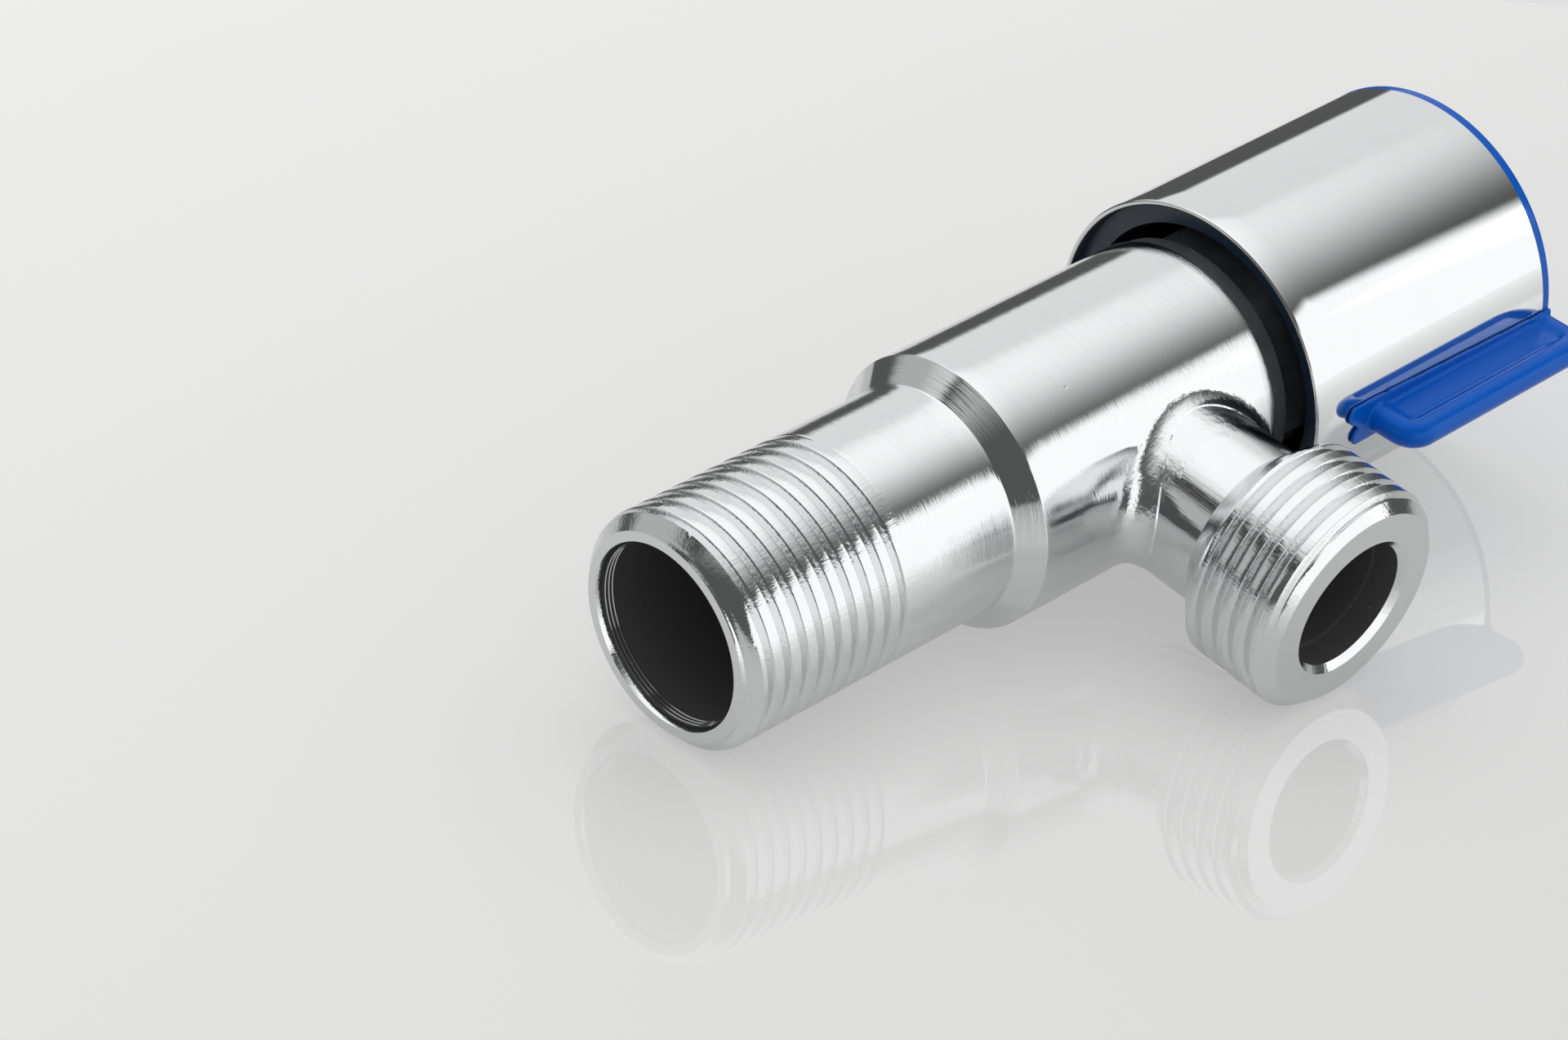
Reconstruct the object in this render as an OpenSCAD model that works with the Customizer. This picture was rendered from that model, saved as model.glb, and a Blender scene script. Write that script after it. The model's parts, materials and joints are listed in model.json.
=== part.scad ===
// Quarter-turn angle valve: a chromed brass body with a side outlet, a ceramic disc
// cartridge and a chromed handle with a blue end cap and grip wing.
// The origin is the centre of the inlet face. The main axis runs along +X to the handle,
// and the outlet leaves along -Y. The wing is drawn in the open position.

/* [Pipe threads] */
// Outside diameter of both pipe threads
thread_d = 20.955; // [20.5:0.005:21.4]
// Depth of the thread form from crest to root, cut back behind the outlet thread
thread_depth = 1.162; // [0.9:0.001:1.25]
// Length of the inlet thread from its end face
inlet_thread_len = 18.2; // [12:0.1:24]
// Length of the outlet thread from its end face
outlet_thread_len = 10.2; // [7:0.1:12]
// Chamfer from the crest down to each end face
end_chamfer = 1.28; // [1:0.02:1.5]

/* [Body] */
// Diameter of the plain cylinder behind the inlet thread
plain_d = 20.9; // [20:0.1:21.4]
// Length of the plain cylinder behind the inlet thread
inlet_plain_len = 11.0; // [6:0.5:16]
// Length of the cone that widens to the barrel
shoulder_len = 1.95; // [1:0.05:3]
// Outside diameter of the barrel
barrel_d = 24.7; // [24:0.1:26]
// Length of the barrel
barrel_len = 27.9; // [26:0.1:34]
// Small chamfer on the rim of the barrel's end
barrel_edge = 0.25; // [0.1:0.05:0.5]
// Distance from the barrel's end back to the outlet axis
outlet_from_end = 10.1; // [9.6:0.1:10.6]
// Distance from the main axis to the outlet face
outlet_reach = 30.7; // [28:0.1:36]
// Outside diameter of the outlet neck
neck_d = 15.6; // [15:0.1:17]
// Radius of the cast fillet between the neck and the barrel
neck_fillet = 2.2; // [1:0.1:2.6]

/* [Waterways] */
// Diameter of the inlet bore
inlet_bore_d = 16.1; // [13:0.1:16.6]
// Chamfer at the mouth of the inlet bore
inlet_mouth = 0.25; // [0.1:0.05:0.4]
// Diameter of the outlet bore
outlet_bore_d = 11.9; // [10.5:0.1:13]
// Chamfer at the mouth of the outlet bore
outlet_mouth = 0.55; // [0.2:0.05:0.8]
// Depth at which the outlet bore steps down
outlet_step_depth = 3.0; // [2:0.1:6]
// Height of that step
outlet_step = 0.45; // [0.2:0.05:0.6]
// Diameter of the port between the valve chamber and the outlet
port_d = 9.2; // [7:0.1:9.6]
// Depth of the outlet bore from its face to the port
outlet_bore_depth = 14.0; // [11:0.1:16]
// Diameter of the orifice in the seat
seat_bore_d = 11.0; // [8:0.1:11.2]
// Thickness of the seat wall between the inlet bore and the chamber
seat_wall = 3.5; // [2.5:0.1:5]
// Diameter of the chamber around the cartridge
chamber_d = 20.2; // [19:0.1:20.6]

/* [Cartridge] */
// Diameter of the bonnet's screwed part
bonnet_thread_d = 19.8; // [19.4:0.1:20]
// Length of the bonnet's screwed part
bonnet_thread_len = 5.4; // [4.5:0.1:5.6]
// Diameter of the bonnet's collar
collar_d = 24.0; // [22.5:0.1:24.2]
// Thickness of the collar
collar_h = 1.6; // [1:0.1:1.9]
// Width across the flats of the hexagon
hex_af = 20.0; // [17:0.5:20.5]
// Height of the hexagon
hex_h = 5.0; // [4:0.1:6]
// Diameter of the boss on top of the hexagon
boss_d = 12.8; // [11.5:0.1:14]
// Height of the boss
boss_h = 1.0; // [0.5:0.1:2]
// Cord diameter of the bonnet's O-ring
bonnet_cord = 1.4; // [1.1:0.1:1.5]
// Outside diameter of the disc cage
cage_d = 17.8; // [17.4:0.1:18.4]
// Wall of the disc cage
cage_wall = 0.9; // [0.7:0.05:1]
// Width of each window in the cage
window_w = 8.0; // [6:0.1:9]
// Thickness of each ceramic disc
disc_h = 3.0; // [2.4:0.1:3.4]
// Radius of the solid centre between the ports of a disc
port_inner_r = 1.7; // [1.5:0.1:2.5]
// Outer radius of the ports of a disc
port_outer_r = 6.0; // [5:0.1:6.2]
// Angle that each port of a disc spans
port_angle = 74; // [60:1:80]
// Height of the rubber seal under the discs
seal_h = 2.2; // [1.8:0.1:2.8]
// Width of the rubber seal's ring
seal_w = 1.4; // [1:0.1:1.6]
// Width of the stiffening ring inside the seal
seat_ring_w = 0.85; // [0.6:0.05:1]

/* [Spindle] */
// Diameter of the spindle
spindle_d = 8.0; // [7:0.1:9]
// Diameter of the flange that carries the thrust
flange_d = 13.8; // [12.5:0.1:13.9]
// Thickness of the flange
flange_h = 1.8; // [1.4:0.1:2.2]
// Thickness of the thrust washer
thrust_h = 0.8; // [0.5:0.1:1.2]
// Length of the open space round the tongue, where the water turns
turn_len = 5.2; // [4.8:0.1:6]
// Thickness of the tongue that drives the moving disc
tongue_t = 2.6; // [2:0.1:3]
// Depth of the tongue in the disc's slot
tongue_depth = 1.4; // [1:0.1:1.8]
// Cord diameter of the spindle's O-rings
spindle_cord = 1.4; // [1.1:0.1:1.5]
// Distance between the two spindle O-rings
o_ring_pitch = 3.4; // [2.8:0.1:4]
// Number of teeth on the spline
spline_teeth = 20; // [16:1:24]
// Depth of the spline's teeth
spline_depth = 0.5; // [0.3:0.05:0.6]
// Length of the spline
spline_len = 10.0; // [7:0.1:12]
// Thickness of the washer under the retaining clip
clip_washer_h = 0.4; // [0.3:0.1:0.8]
// Thickness of the retaining clip
clip_h = 0.7; // [0.5:0.1:1]
// Outside diameter of the clip and its washer
clip_d = 11.2; // [10.5:0.1:12]
// Angle of the turn between open and closed
turn_angle = 90; // [80:1:95]

/* [Handle] */
// Gap between the barrel's end and the handle's sleeve
handle_gap = 2.0; // [1:0.1:3]
// Outside diameter of the chromed sleeve
sleeve_d = 30.6; // [29.6:0.1:34]
// Wall of the sleeve
sleeve_wall = 0.5; // [0.4:0.05:0.8]
// Length of the sleeve
sleeve_len = 30.0; // [28:0.1:40]
// How far the core's rim lies inside the sleeve's mouth
core_setback = 1.2; // [0.6:0.1:3]
// Wall of the core's outer tube
core_wall = 1.9; // [1.2:0.1:2]
// Diameter of the core's hub
hub_d = 14.8; // [13:0.1:17]
// Thickness of the web that carries the hub
web_h = 2.4; // [1.6:0.1:3.5]
// Number of ribs between the hub and the outer tube
rib_count = 6; // [4:1:8]
// Thickness of a rib
rib_t = 1.2; // [0.8:0.1:2]
// Wall of the brass spline bush
bush_wall = 1.6; // [1.2:0.1:2]
// Thickness of the blue end cap
cap_h = 1.05; // [0.8:0.05:2.4]
// Rounding of the edge of the end cap and of the plug
cap_edge = 0.35; // [0.1:0.05:0.7]
// Depth of the cap's locating ring inside the core
cap_ring_h = 3.0; // [2:0.1:4.5]
// Wall of the cap's rings
cap_ring_w = 1.0; // [0.8:0.1:1.6]
// Diameter of the plug over the screw
cover_d = 12.0; // [10:0.1:14]
// Diameter of the handle screw
screw_d = 4.0; // [3:0.5:4]
// Length of the screw's thread inside the spindle
screw_grip = 7.0; // [5:0.1:8]

/* [Grip wing] */
// Turn of the wing from the outlet's side at rest
wing_angle = 5.5; // [0:0.5:12]
// Distance from the sleeve's mouth to the wing's front
wing_front = 6.8; // [5:0.1:12]
// How far the saddle strip reaches ahead of the wing
strip_lead = 3.1; // [1:0.1:4]
// Radius of the wing's outer edge
wing_r = 20.9; // [19.5:0.1:26]
// Thickness of the wing at its rim
wing_t = 2.6; // [2:0.1:3.4]
// Thickness of the web inside the wing's beaded rim
web_t = 1.3; // [1:0.1:1.8]
// How far the wing's back edge lies ahead of the cap's face
wing_inset = 0.1; // [0.05:0.05:0.6]
// Radius of the wing's outer corners
wing_corner = 2.8; // [2.2:0.1:3.4]
// Thickness of the saddle strip
strip_t = 1.0; // [0.8:0.1:1.4]
// Width of the saddle strip across its two front lobes
strip_w = 5.0; // [4.6:0.1:6]
// Width of the saddle strip where it meets the cap
strip_tail_w = 3.0; // [2.8:0.1:4.6]
// Radius of each lobe at the strip's front
lobe_r = 1.05; // [0.9:0.05:1.15]
// Depth of the notch between the two lobes
notch_depth = 1.1; // [0.4:0.1:2]

/* [Clearances] */
// Radial running clearance of the spindle in the bonnet
running = 0.05; // [0.02:0.01:0.08]
// Radial clearance between pieces that are pushed or screwed together
fitted = 0.05; // [0.02:0.01:0.1]
// Radial clearance between the moving pieces and the cage
swing = 0.2; // [0.15:0.05:0.3]
// Water film between the two ceramic discs
film = 0.02; // [0.01:0.01:0.05]

/* [Hidden] */
$fn = 96;
eps = 0.01;
over = 1;

// Both threads are plain cylinders at the crest, and root_r is the bottom of the thread form
thread_r = thread_d / 2;
root_r = thread_r - thread_depth;

// Places along the main axis, from the inlet face to the handle's end
x_plain = inlet_thread_len;
x_shoulder = x_plain + inlet_plain_len;
x_barrel = x_shoulder + shoulder_len;
x_end = x_barrel + barrel_len;
x_outlet = x_end - outlet_from_end;
x_bonnet = x_end - bonnet_thread_len;
x_thrust = x_bonnet - thrust_h;
x_flange = x_thrust - flange_h;
x_moving_back = x_flange - turn_len;
x_moving = x_moving_back - disc_h;
x_fixed = x_moving - film - disc_h;
x_seat = x_fixed - seal_h;
x_web_seat = x_seat - seat_wall;
x_hex = x_end + collar_h;
x_boss = x_hex + hex_h;
x_top = x_boss + boss_h;
x_clip = x_top + clip_washer_h;
x_clip_end = x_clip + clip_h;
spline_gap = 1.0;
x_spline = x_clip_end + spline_gap;
x_spline_end = x_spline + spline_len;
x_screw_seat = x_spline_end + web_h;
x_sleeve = x_end + handle_gap;
x_cap = x_sleeve + sleeve_len;
x_tip = x_cap + cap_h;

// Radii that more than one piece uses
barrel_r = barrel_d / 2;
neck_r = neck_d / 2;
seat_bore_r = seat_bore_d / 2;
spindle_r = spindle_d / 2;
bonnet_bore_r = spindle_r + running;
cage_in_r = cage_d / 2 - cage_wall;
disc_r = cage_in_r - swing / 2;
flange_r = flange_d / 2;
spigot_w = 0.9;
spigot_in_r = cage_in_r - spigot_w;
spigot_h = flange_h + thrust_h - swing;
o_ring_seat_r = bonnet_thread_d / 2 - bonnet_cord * 0.72;
o_ring_seat_h = bonnet_cord * 1.25;
body_o_ring_r = o_ring_seat_r + bonnet_cord + fitted;
groove_h = spindle_cord * 1.3;
groove_r = bonnet_bore_r - spindle_cord - 0.02;
x_o_ring_low = x_bonnet + groove_h / 2 + 1.4;
x_o_ring_high = x_o_ring_low + o_ring_pitch;
clip_groove_r = spindle_r - 0.7;
spline_r = spindle_r - 0.1;
screw_r = screw_d / 2;
screw_head_r = screw_d * 0.95;
screw_head_h = screw_d * 0.6;
screw_washer_h = screw_d * 0.2;
bush_r = spindle_r + bush_wall;
sleeve_r = sleeve_d / 2;
sleeve_in_r = sleeve_r - sleeve_wall;
core_r = sleeve_in_r - fitted;
core_in_r = core_r - core_wall;
hub_r = hub_d / 2;
cover_r = cover_d / 2;
cover_h = 2.2;
ledge_h = 0.8;

// Turned pieces lie along +X: a profile point is [radius, place along the axis]
module along_x(x = 0) {
    translate([x, 0, 0])
        rotate([0, 90, 0])
            children();
}

// The outlet's pieces lie along -Y: a profile point is [radius, distance from the main axis]
module along_outlet() {
    translate([x_outlet, 0, 0])
        rotate([90, 0, 0])
            children();
}

module turned(profile) {
    rotate_extrude()
        polygon(profile);
}

module ring(inner_r, outer_r, x, length) {
    along_x()
        turned([[inner_r, x], [outer_r, x], [outer_r, x + length], [inner_r, x + length]]);
}

module rod(r, x, length) {
    along_x(x)
        cylinder(r = r, h = length);
}

// A disc with a rounded edge on its outer face
module rounded_disc(r, x, length) {
    along_x(x)
        rotate_extrude() {
            square([r - cap_edge, length]);
            square([r, length - cap_edge]);
            translate([r - cap_edge, length - cap_edge])
                circle(r = cap_edge, $fn = 48);
        }
}

// A sector of a ring, centred on -Y and turned towards +Z by an angle
module ring_sector(inner_r, outer_r, x, length, middle, span) {
    rotate([-middle, 0, 0])
        along_x(x)
            rotate([0, 0, -90 - span / 2])
                rotate_extrude(angle = span)
                    translate([inner_r, 0])
                        square([outer_r - inner_r, length]);
}

// Main body of revolution: inlet thread, plain cylinder, shoulder cone and barrel
module body_main() {
    along_x()
        turned([
            [0, 0], [thread_r - end_chamfer, 0], [thread_r, end_chamfer], [thread_r, x_plain],
            [plain_d / 2, x_plain], [plain_d / 2, x_shoulder],
            [barrel_r, x_barrel], [barrel_r, x_end - barrel_edge],
            [barrel_r - barrel_edge, x_end], [0, x_end]
        ]);
}

// Outlet branch: neck, thread collar and thread, from the main axis outwards
module body_branch() {
    thread_end = outlet_reach - outlet_thread_len;
    back_chamfer = root_r - neck_r;
    along_outlet()
        turned([
            [0, outlet_reach], [thread_r - end_chamfer, outlet_reach],
            [thread_r, outlet_reach - end_chamfer], [thread_r, thread_end + thread_depth],
            [root_r, thread_end], [neck_r, thread_end - back_chamfer], [neck_r, 0], [0, 0]
        ]);
}

// Cast root of the neck: a concave flare that dies into the barrel
module neck_root() {
    flare_r = neck_r + neck_fillet;
    flare_top = barrel_r + neck_fillet;
    intersection() {
        along_outlet()
            rotate_extrude()
                difference() {
                    square([flare_r, flare_top]);
                    translate([flare_r, flare_top])
                        circle(r = neck_fillet);
                }
        rod(barrel_r + neck_fillet * 0.35, x_outlet - flare_r - over, 2 * flare_r + 2 * over);
    }
}

module inlet_waterway() {
    r = inlet_bore_d / 2;
    drill_cone = (r - seat_bore_r) * 0.6;
    along_x()
        turned([
            [0, -over], [r + inlet_mouth, -over], [r + inlet_mouth, 0], [r, inlet_mouth * 2],
            [r, x_web_seat - drill_cone], [seat_bore_r, x_web_seat], [seat_bore_r, x_seat + over],
            [0, x_seat + over]
        ]);
}

module outlet_waterway() {
    r = outlet_bore_d / 2;
    step_r = r - outlet_step;
    port_r = port_d / 2;
    face = outlet_reach;
    step_end = face - outlet_step_depth;
    bore_end = face - outlet_bore_depth;
    cone = (step_r - port_r) * 0.6;
    along_outlet()
        turned([
            [0, face + over], [r + outlet_mouth, face + over], [r + outlet_mouth, face],
            [r, face - outlet_mouth], [r, step_end], [step_r, step_end], [step_r, bore_end],
            [port_r, bore_end - cone], [port_r, 0], [0, 0]
        ]);
}

module valve_body() {
    color([0.86, 0.87, 0.88])
        difference() {
            union() {
                body_main();
                body_branch();
                neck_root();
            }
            inlet_waterway();
            outlet_waterway();
            rod(chamber_d / 2, x_seat, x_bonnet - x_seat);
            rod(bonnet_thread_d / 2 + fitted, x_bonnet - eps, bonnet_thread_len + over);
            rod(body_o_ring_r, x_end - o_ring_seat_h, o_ring_seat_h + over);
        }
}

module bonnet() {
    lug_span = 26;
    color([0.80, 0.66, 0.36])
        difference() {
            union() {
                along_x()
                    turned([
                        [0, x_bonnet], [bonnet_thread_d / 2, x_bonnet],
                        [bonnet_thread_d / 2, x_end - o_ring_seat_h],
                        [o_ring_seat_r, x_end - o_ring_seat_h], [o_ring_seat_r, x_end],
                        [collar_d / 2, x_end], [collar_d / 2, x_hex], [0, x_hex]
                    ]);
                along_x(x_hex - eps)
                    rotate([0, 0, 30])
                        cylinder(r = hex_af / 2 / cos(30), h = hex_h + eps, $fn = 6);
                rod(boss_d / 2, x_boss - eps, boss_h + eps);
                ring_sector(spigot_in_r, cage_in_r, x_bonnet - spigot_h, spigot_h + eps,
                    180 + turn_angle / 2, 360 - turn_angle - lug_span);
            }
            rod(bonnet_bore_r, x_bonnet - over, x_top - x_bonnet + 2 * over);
        }
}

module bonnet_o_ring() {
    color([0.12, 0.12, 0.13])
        along_x(x_end - o_ring_seat_h / 2)
            rotate_extrude()
                translate([o_ring_seat_r + bonnet_cord / 2, 0])
                    circle(r = bonnet_cord / 2);
}

// Cage round the discs, with four windows that let the water out and two keys
module disc_cage() {
    window_x = x_moving_back + 0.3;
    window_h = x_flange - window_x - 0.3;
    key_w = 2.0;
    key_depth = 0.9;
    color([0.80, 0.66, 0.36]) {
        difference() {
            ring(cage_in_r, cage_d / 2, x_seat + 0.3, x_bonnet - x_seat - 0.3);
            for (turn = [0, 90])
                rotate([turn, 0, 0])
                    translate([window_x, -cage_d, -window_w / 2])
                        cube([window_h, 2 * cage_d, window_w]);
        }
        for (side = [-1, 1])
            translate([x_fixed, side * (cage_in_r - key_depth / 2 + eps), 0])
                translate([disc_h / 2, 0, 0])
                    cube([disc_h, key_depth + 2 * eps, key_w], center = true);
    }
}

// Plain ceramic disc with two opposed ports
module ported_disc(r, x) {
    difference() {
        rod(r, x, disc_h);
        for (middle = [90, 270])
            ring_sector(port_inner_r, port_outer_r, x - over, disc_h + 2 * over,
                middle, port_angle);
    }
}

module fixed_disc() {
    notch_w = 2.2;
    notch_depth = 1.2;
    color([0.95, 0.95, 0.93])
        difference() {
            ported_disc(disc_r, x_fixed);
            for (side = [-1, 1])
                translate([x_fixed + disc_h / 2, side * cage_in_r, 0])
                    cube([disc_h + 2 * over, 2 * notch_depth, notch_w], center = true);
        }
}

module moving_disc() {
    color([0.90, 0.90, 0.89])
        difference() {
            ported_disc(disc_r, x_moving);
            translate([x_moving_back - tongue_depth, -cage_d, -tongue_t / 2 - fitted])
                cube([tongue_depth + over, 2 * cage_d, tongue_t + 2 * fitted]);
        }
}

module seat_seal() {
    color([0.12, 0.12, 0.13])
        ring(disc_r - seal_w, disc_r, x_seat, seal_h);
}

module seat_ring() {
    rim_r = disc_r - seal_w - fitted;
    color([0.90, 0.90, 0.86])
        ring(rim_r - seat_ring_w, rim_r, x_seat + 0.3, seal_h - 0.3);
}

// Outline of the spline, with a clearance for the bush that takes it
function spline_points(gap) = [
    for (i = [0 : spline_teeth - 1])
        let (
            a = 360 * i / spline_teeth,
            step = 360 / spline_teeth,
            tip = spline_r + gap,
            root = spline_r - spline_depth + gap,
            half_tip = step * 0.14,
            half_root = step * 0.36
        )
        each [
            [root * cos(a - half_root), root * sin(a - half_root)],
            [tip * cos(a - half_tip), tip * sin(a - half_tip)],
            [tip * cos(a + half_tip), tip * sin(a + half_tip)],
            [root * cos(a + half_root), root * sin(a + half_root)]
        ]
];

module spindle() {
    tongue_w = 2 * (disc_r - 1.2);
    lug_r = cage_in_r - swing;
    lug_span = 22;
    color([0.80, 0.66, 0.36])
        difference() {
            union() {
                translate([x_moving_back - tongue_depth + fitted, -tongue_w / 2, -tongue_t / 2])
                    cube([turn_len + tongue_depth, tongue_w, tongue_t]);
                along_x()
                    turned([
                        [0, x_flange], [flange_r, x_flange], [flange_r, x_thrust],
                        [spindle_r, x_thrust], [spindle_r, x_o_ring_low - groove_h / 2],
                        [groove_r, x_o_ring_low - groove_h / 2],
                        [groove_r, x_o_ring_low + groove_h / 2],
                        [spindle_r, x_o_ring_low + groove_h / 2],
                        [spindle_r, x_o_ring_high - groove_h / 2],
                        [groove_r, x_o_ring_high - groove_h / 2],
                        [groove_r, x_o_ring_high + groove_h / 2],
                        [spindle_r, x_o_ring_high + groove_h / 2],
                        [spindle_r, x_clip], [clip_groove_r, x_clip],
                        [clip_groove_r, x_clip_end], [spindle_r, x_clip_end],
                        [spline_r - spline_depth, x_spline], [spline_r - spline_depth, x_spline_end],
                        [0, x_spline_end]
                    ]);
                along_x(x_spline)
                    linear_extrude(spline_len)
                        polygon(spline_points(0));
                ring_sector(flange_r - 1, lug_r, x_flange, flange_h, 0, lug_span);
            }
            rod(screw_r, x_spline_end - screw_grip - 1, screw_grip + 1 + over);
        }
}

module spindle_o_ring(x) {
    color([0.12, 0.12, 0.13])
        along_x(x)
            rotate_extrude()
                translate([groove_r + spindle_cord / 2, 0])
                    circle(r = spindle_cord / 2);
}

module lower_spindle_o_ring() {
    spindle_o_ring(x_o_ring_low);
}

module upper_spindle_o_ring() {
    spindle_o_ring(x_o_ring_high);
}

module thrust_washer() {
    color([0.93, 0.93, 0.90])
        ring(bonnet_bore_r, spigot_in_r - swing, x_thrust, thrust_h - film);
}

module clip_washer() {
    color([0.70, 0.71, 0.72])
        ring(bonnet_bore_r, clip_d / 2 - 0.3, x_top + film, clip_washer_h - film);
}

// Snap ring with a mouth, seated in the spindle's groove
module retaining_clip() {
    mouth_w = 2 * clip_groove_r - 1.2;
    color([0.62, 0.63, 0.65])
        difference() {
            ring(clip_groove_r, clip_d / 2, x_clip, clip_h);
            translate([x_clip - over, -mouth_w / 2, 0])
                cube([clip_h + 2 * over, mouth_w, clip_d]);
        }
}

// Inner moulding of the handle: outer tube, web, hub and ribs
module handle_core() {
    x_rim = x_sleeve + core_setback;
    rib_x = x_spline + 1;
    color([0.05, 0.07, 0.12])
        difference() {
            union() {
                ring(core_in_r, core_r, x_rim, x_cap - x_rim);
                rod(core_in_r + eps, x_spline_end, web_h);
                rod(hub_r, x_spline + fitted, spline_len + web_h / 2);
                for (i = [0 : rib_count - 1])
                    rotate([360 * i / rib_count, 0, 0])
                        translate([rib_x, bush_r + bush_wall / 4, -rib_t / 2])
                            cube([x_spline_end - rib_x + eps, core_in_r - bush_r, rib_t]);
            }
            rod(bush_r + fitted, x_spline - over, spline_len + over);
            rod(screw_r + 0.2, x_spline_end - over, web_h + 2 * over);
        }
}

module spline_bush() {
    color([0.80, 0.66, 0.36])
        difference() {
            rod(bush_r, x_spline + fitted, spline_len - fitted);
            along_x(x_spline - over)
                linear_extrude(spline_len + 2 * over)
                    polygon(spline_points(fitted));
        }
}

// Thin chromed sleeve with a rounded lip at its mouth
module chrome_sleeve() {
    lip_r = sleeve_wall / 2;
    color([0.86, 0.87, 0.88])
        along_x()
            rotate_extrude() {
                translate([sleeve_in_r, x_sleeve + lip_r])
                    square([sleeve_wall, sleeve_len - lip_r]);
                translate([sleeve_in_r + lip_r, x_sleeve + lip_r])
                    circle(r = lip_r);
            }
}

module screw_washer() {
    color([0.70, 0.71, 0.72])
        ring(screw_r + 0.15, screw_head_r + 0.4, x_screw_seat, screw_washer_h);
}

// Pan-head screw with a cross recess
module handle_screw() {
    x_head = x_screw_seat + screw_washer_h;
    slot_w = screw_d * 0.22;
    slot_l = screw_d * 1.05;
    slot_h = screw_head_h * 0.6;
    color([0.70, 0.71, 0.72])
        difference() {
            union() {
                rod(screw_r, x_spline_end - screw_grip, screw_grip + web_h + screw_washer_h + eps);
                rod(screw_head_r, x_head, screw_head_h);
            }
            for (turn = [0, 90])
                rotate([turn, 0, 0])
                    translate([x_head + screw_head_h - slot_h, -slot_l / 2, -slot_w / 2])
                        cube([slot_h + over, slot_l, slot_w]);
        }
}

// Round bead that runs out from the root, along the wing's outer edge and back to the root
module wing_bead(front, back, inner_r) {
    bead_r = wing_t / 2;
    bend_r = wing_corner - bead_r;
    edge_y = -wing_r + wing_corner;
    rod_x = front + wing_corner;
    translate([rod_x, -wing_r + bead_r, 0])
        rotate([0, 90, 0])
            cylinder(r = bead_r, h = back - wing_corner - rod_x);
    for (end = [[front + wing_corner, 180], [back - wing_corner, 270]])
        translate([end[0], edge_y, 0])
            rotate([0, 0, end[1]])
                rotate_extrude(angle = 90)
                    translate([bend_r, 0])
                        circle(r = bead_r);
    for (x = [front + bead_r, back - bead_r])
        translate([x, edge_y, 0])
            rotate([-90, 0, 0])
                cylinder(r = bead_r, h = -edge_y - inner_r);
}

// Web inside the bead
module wing_web(front, back, inner_r) {
    inset = wing_t * 0.4;
    translate([front + inset, -wing_r + wing_corner, -web_t / 2])
        cube([back - front - 2 * inset, wing_r - wing_corner - inner_r, web_t]);
    translate([front + wing_corner, -wing_r + inset, -web_t / 2])
        cube([back - front - 2 * wing_corner, wing_corner, web_t]);
}

// Outline of the saddle strip laid flat: two lobes and a notch in front, narrower at the cap
module strip_outline(front, back) {
    lobe_z = strip_w / 2 - lobe_r;
    for (side = [-1, 1])
        translate([front + lobe_r, side * lobe_z])
            circle(r = lobe_r);
    polygon([
        [front + lobe_r, -strip_w / 2], [back, -strip_tail_w / 2], [back, strip_tail_w / 2],
        [front + lobe_r, strip_w / 2], [front + lobe_r, lobe_z], [front + notch_depth, 0],
        [front + lobe_r, -lobe_z]
    ]);
}

// Saddle strip that hugs the sleeve under the wing
module saddle_strip(front, back) {
    strip_r = sleeve_r + fitted;
    span = 2 * asin(strip_w / 2 / strip_r) + 4;
    intersection() {
        ring_sector(strip_r, strip_r + strip_t, front, back - front, 0, span);
        rotate([90, 0, 0])
            linear_extrude(wing_r)
                strip_outline(front, back);
    }
}

module grip_wing() {
    front = x_sleeve + wing_front;
    back = x_tip - wing_inset;
    root_r = sleeve_r + fitted + strip_t / 2;
    hook_span = 2 * asin(strip_tail_w / 2 / sleeve_r);
    rotate([-wing_angle, 0, 0]) {
        wing_bead(front, back, root_r);
        wing_web(front, back, root_r);
        saddle_strip(front - strip_lead, x_tip);
        ring_sector(sleeve_r - 2 * sleeve_wall, root_r, x_cap + eps, cap_h - eps, 0, hook_span);
    }
}

// Blue end cap with its locating ring, the pocket for the plug, and the grip wing
module handle_cap() {
    ring_r = core_in_r - fitted;
    pocket_r = cover_r + fitted;
    pocket_depth = cover_h - cap_h + ledge_h;
    color([0.02, 0.33, 0.75]) {
        difference() {
            union() {
                rounded_disc(sleeve_r, x_cap, cap_h);
                rod(ring_r, x_cap - cap_ring_h, cap_ring_h + eps);
            }
            ring(pocket_r + cap_ring_w, ring_r - cap_ring_w, x_cap - cap_ring_h - over,
                cap_ring_h + over);
            rod(pocket_r, x_tip - cover_h, cover_h + over);
            rod(pocket_r - ledge_h, x_cap - cap_ring_h - over, cap_ring_h + cap_h + 2 * over);
            rod(pocket_r + cap_ring_w + eps, x_cap - cap_ring_h - over,
                cap_ring_h + over - pocket_depth);
        }
        grip_wing();
    }
}

module screw_cover() {
    color([0.02, 0.33, 0.75])
        rounded_disc(cover_r, x_tip - cover_h, cover_h);
}

valve_body();
bonnet();
bonnet_o_ring();
disc_cage();
fixed_disc();
seat_seal();
seat_ring();
spindle();
lower_spindle_o_ring();
upper_spindle_o_ring();
thrust_washer();
clip_washer();
retaining_clip();
moving_disc();
handle_core();
spline_bush();
chrome_sleeve();
handle_screw();
screw_washer();
handle_cap();
screw_cover();
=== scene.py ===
"""Looks of a half-inch angle valve: turned and chromed body, chromed handle sleeve, blue cap."""

import json
from bisect import bisect_left
from math import atan2, ceil, cos, degrees, hypot, pi, radians, sin, sqrt, tan

import bmesh
import bpy
from bpy.props import FloatProperty, FloatVectorProperty, IntProperty, PointerProperty
from mathutils import Matrix, Vector


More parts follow.
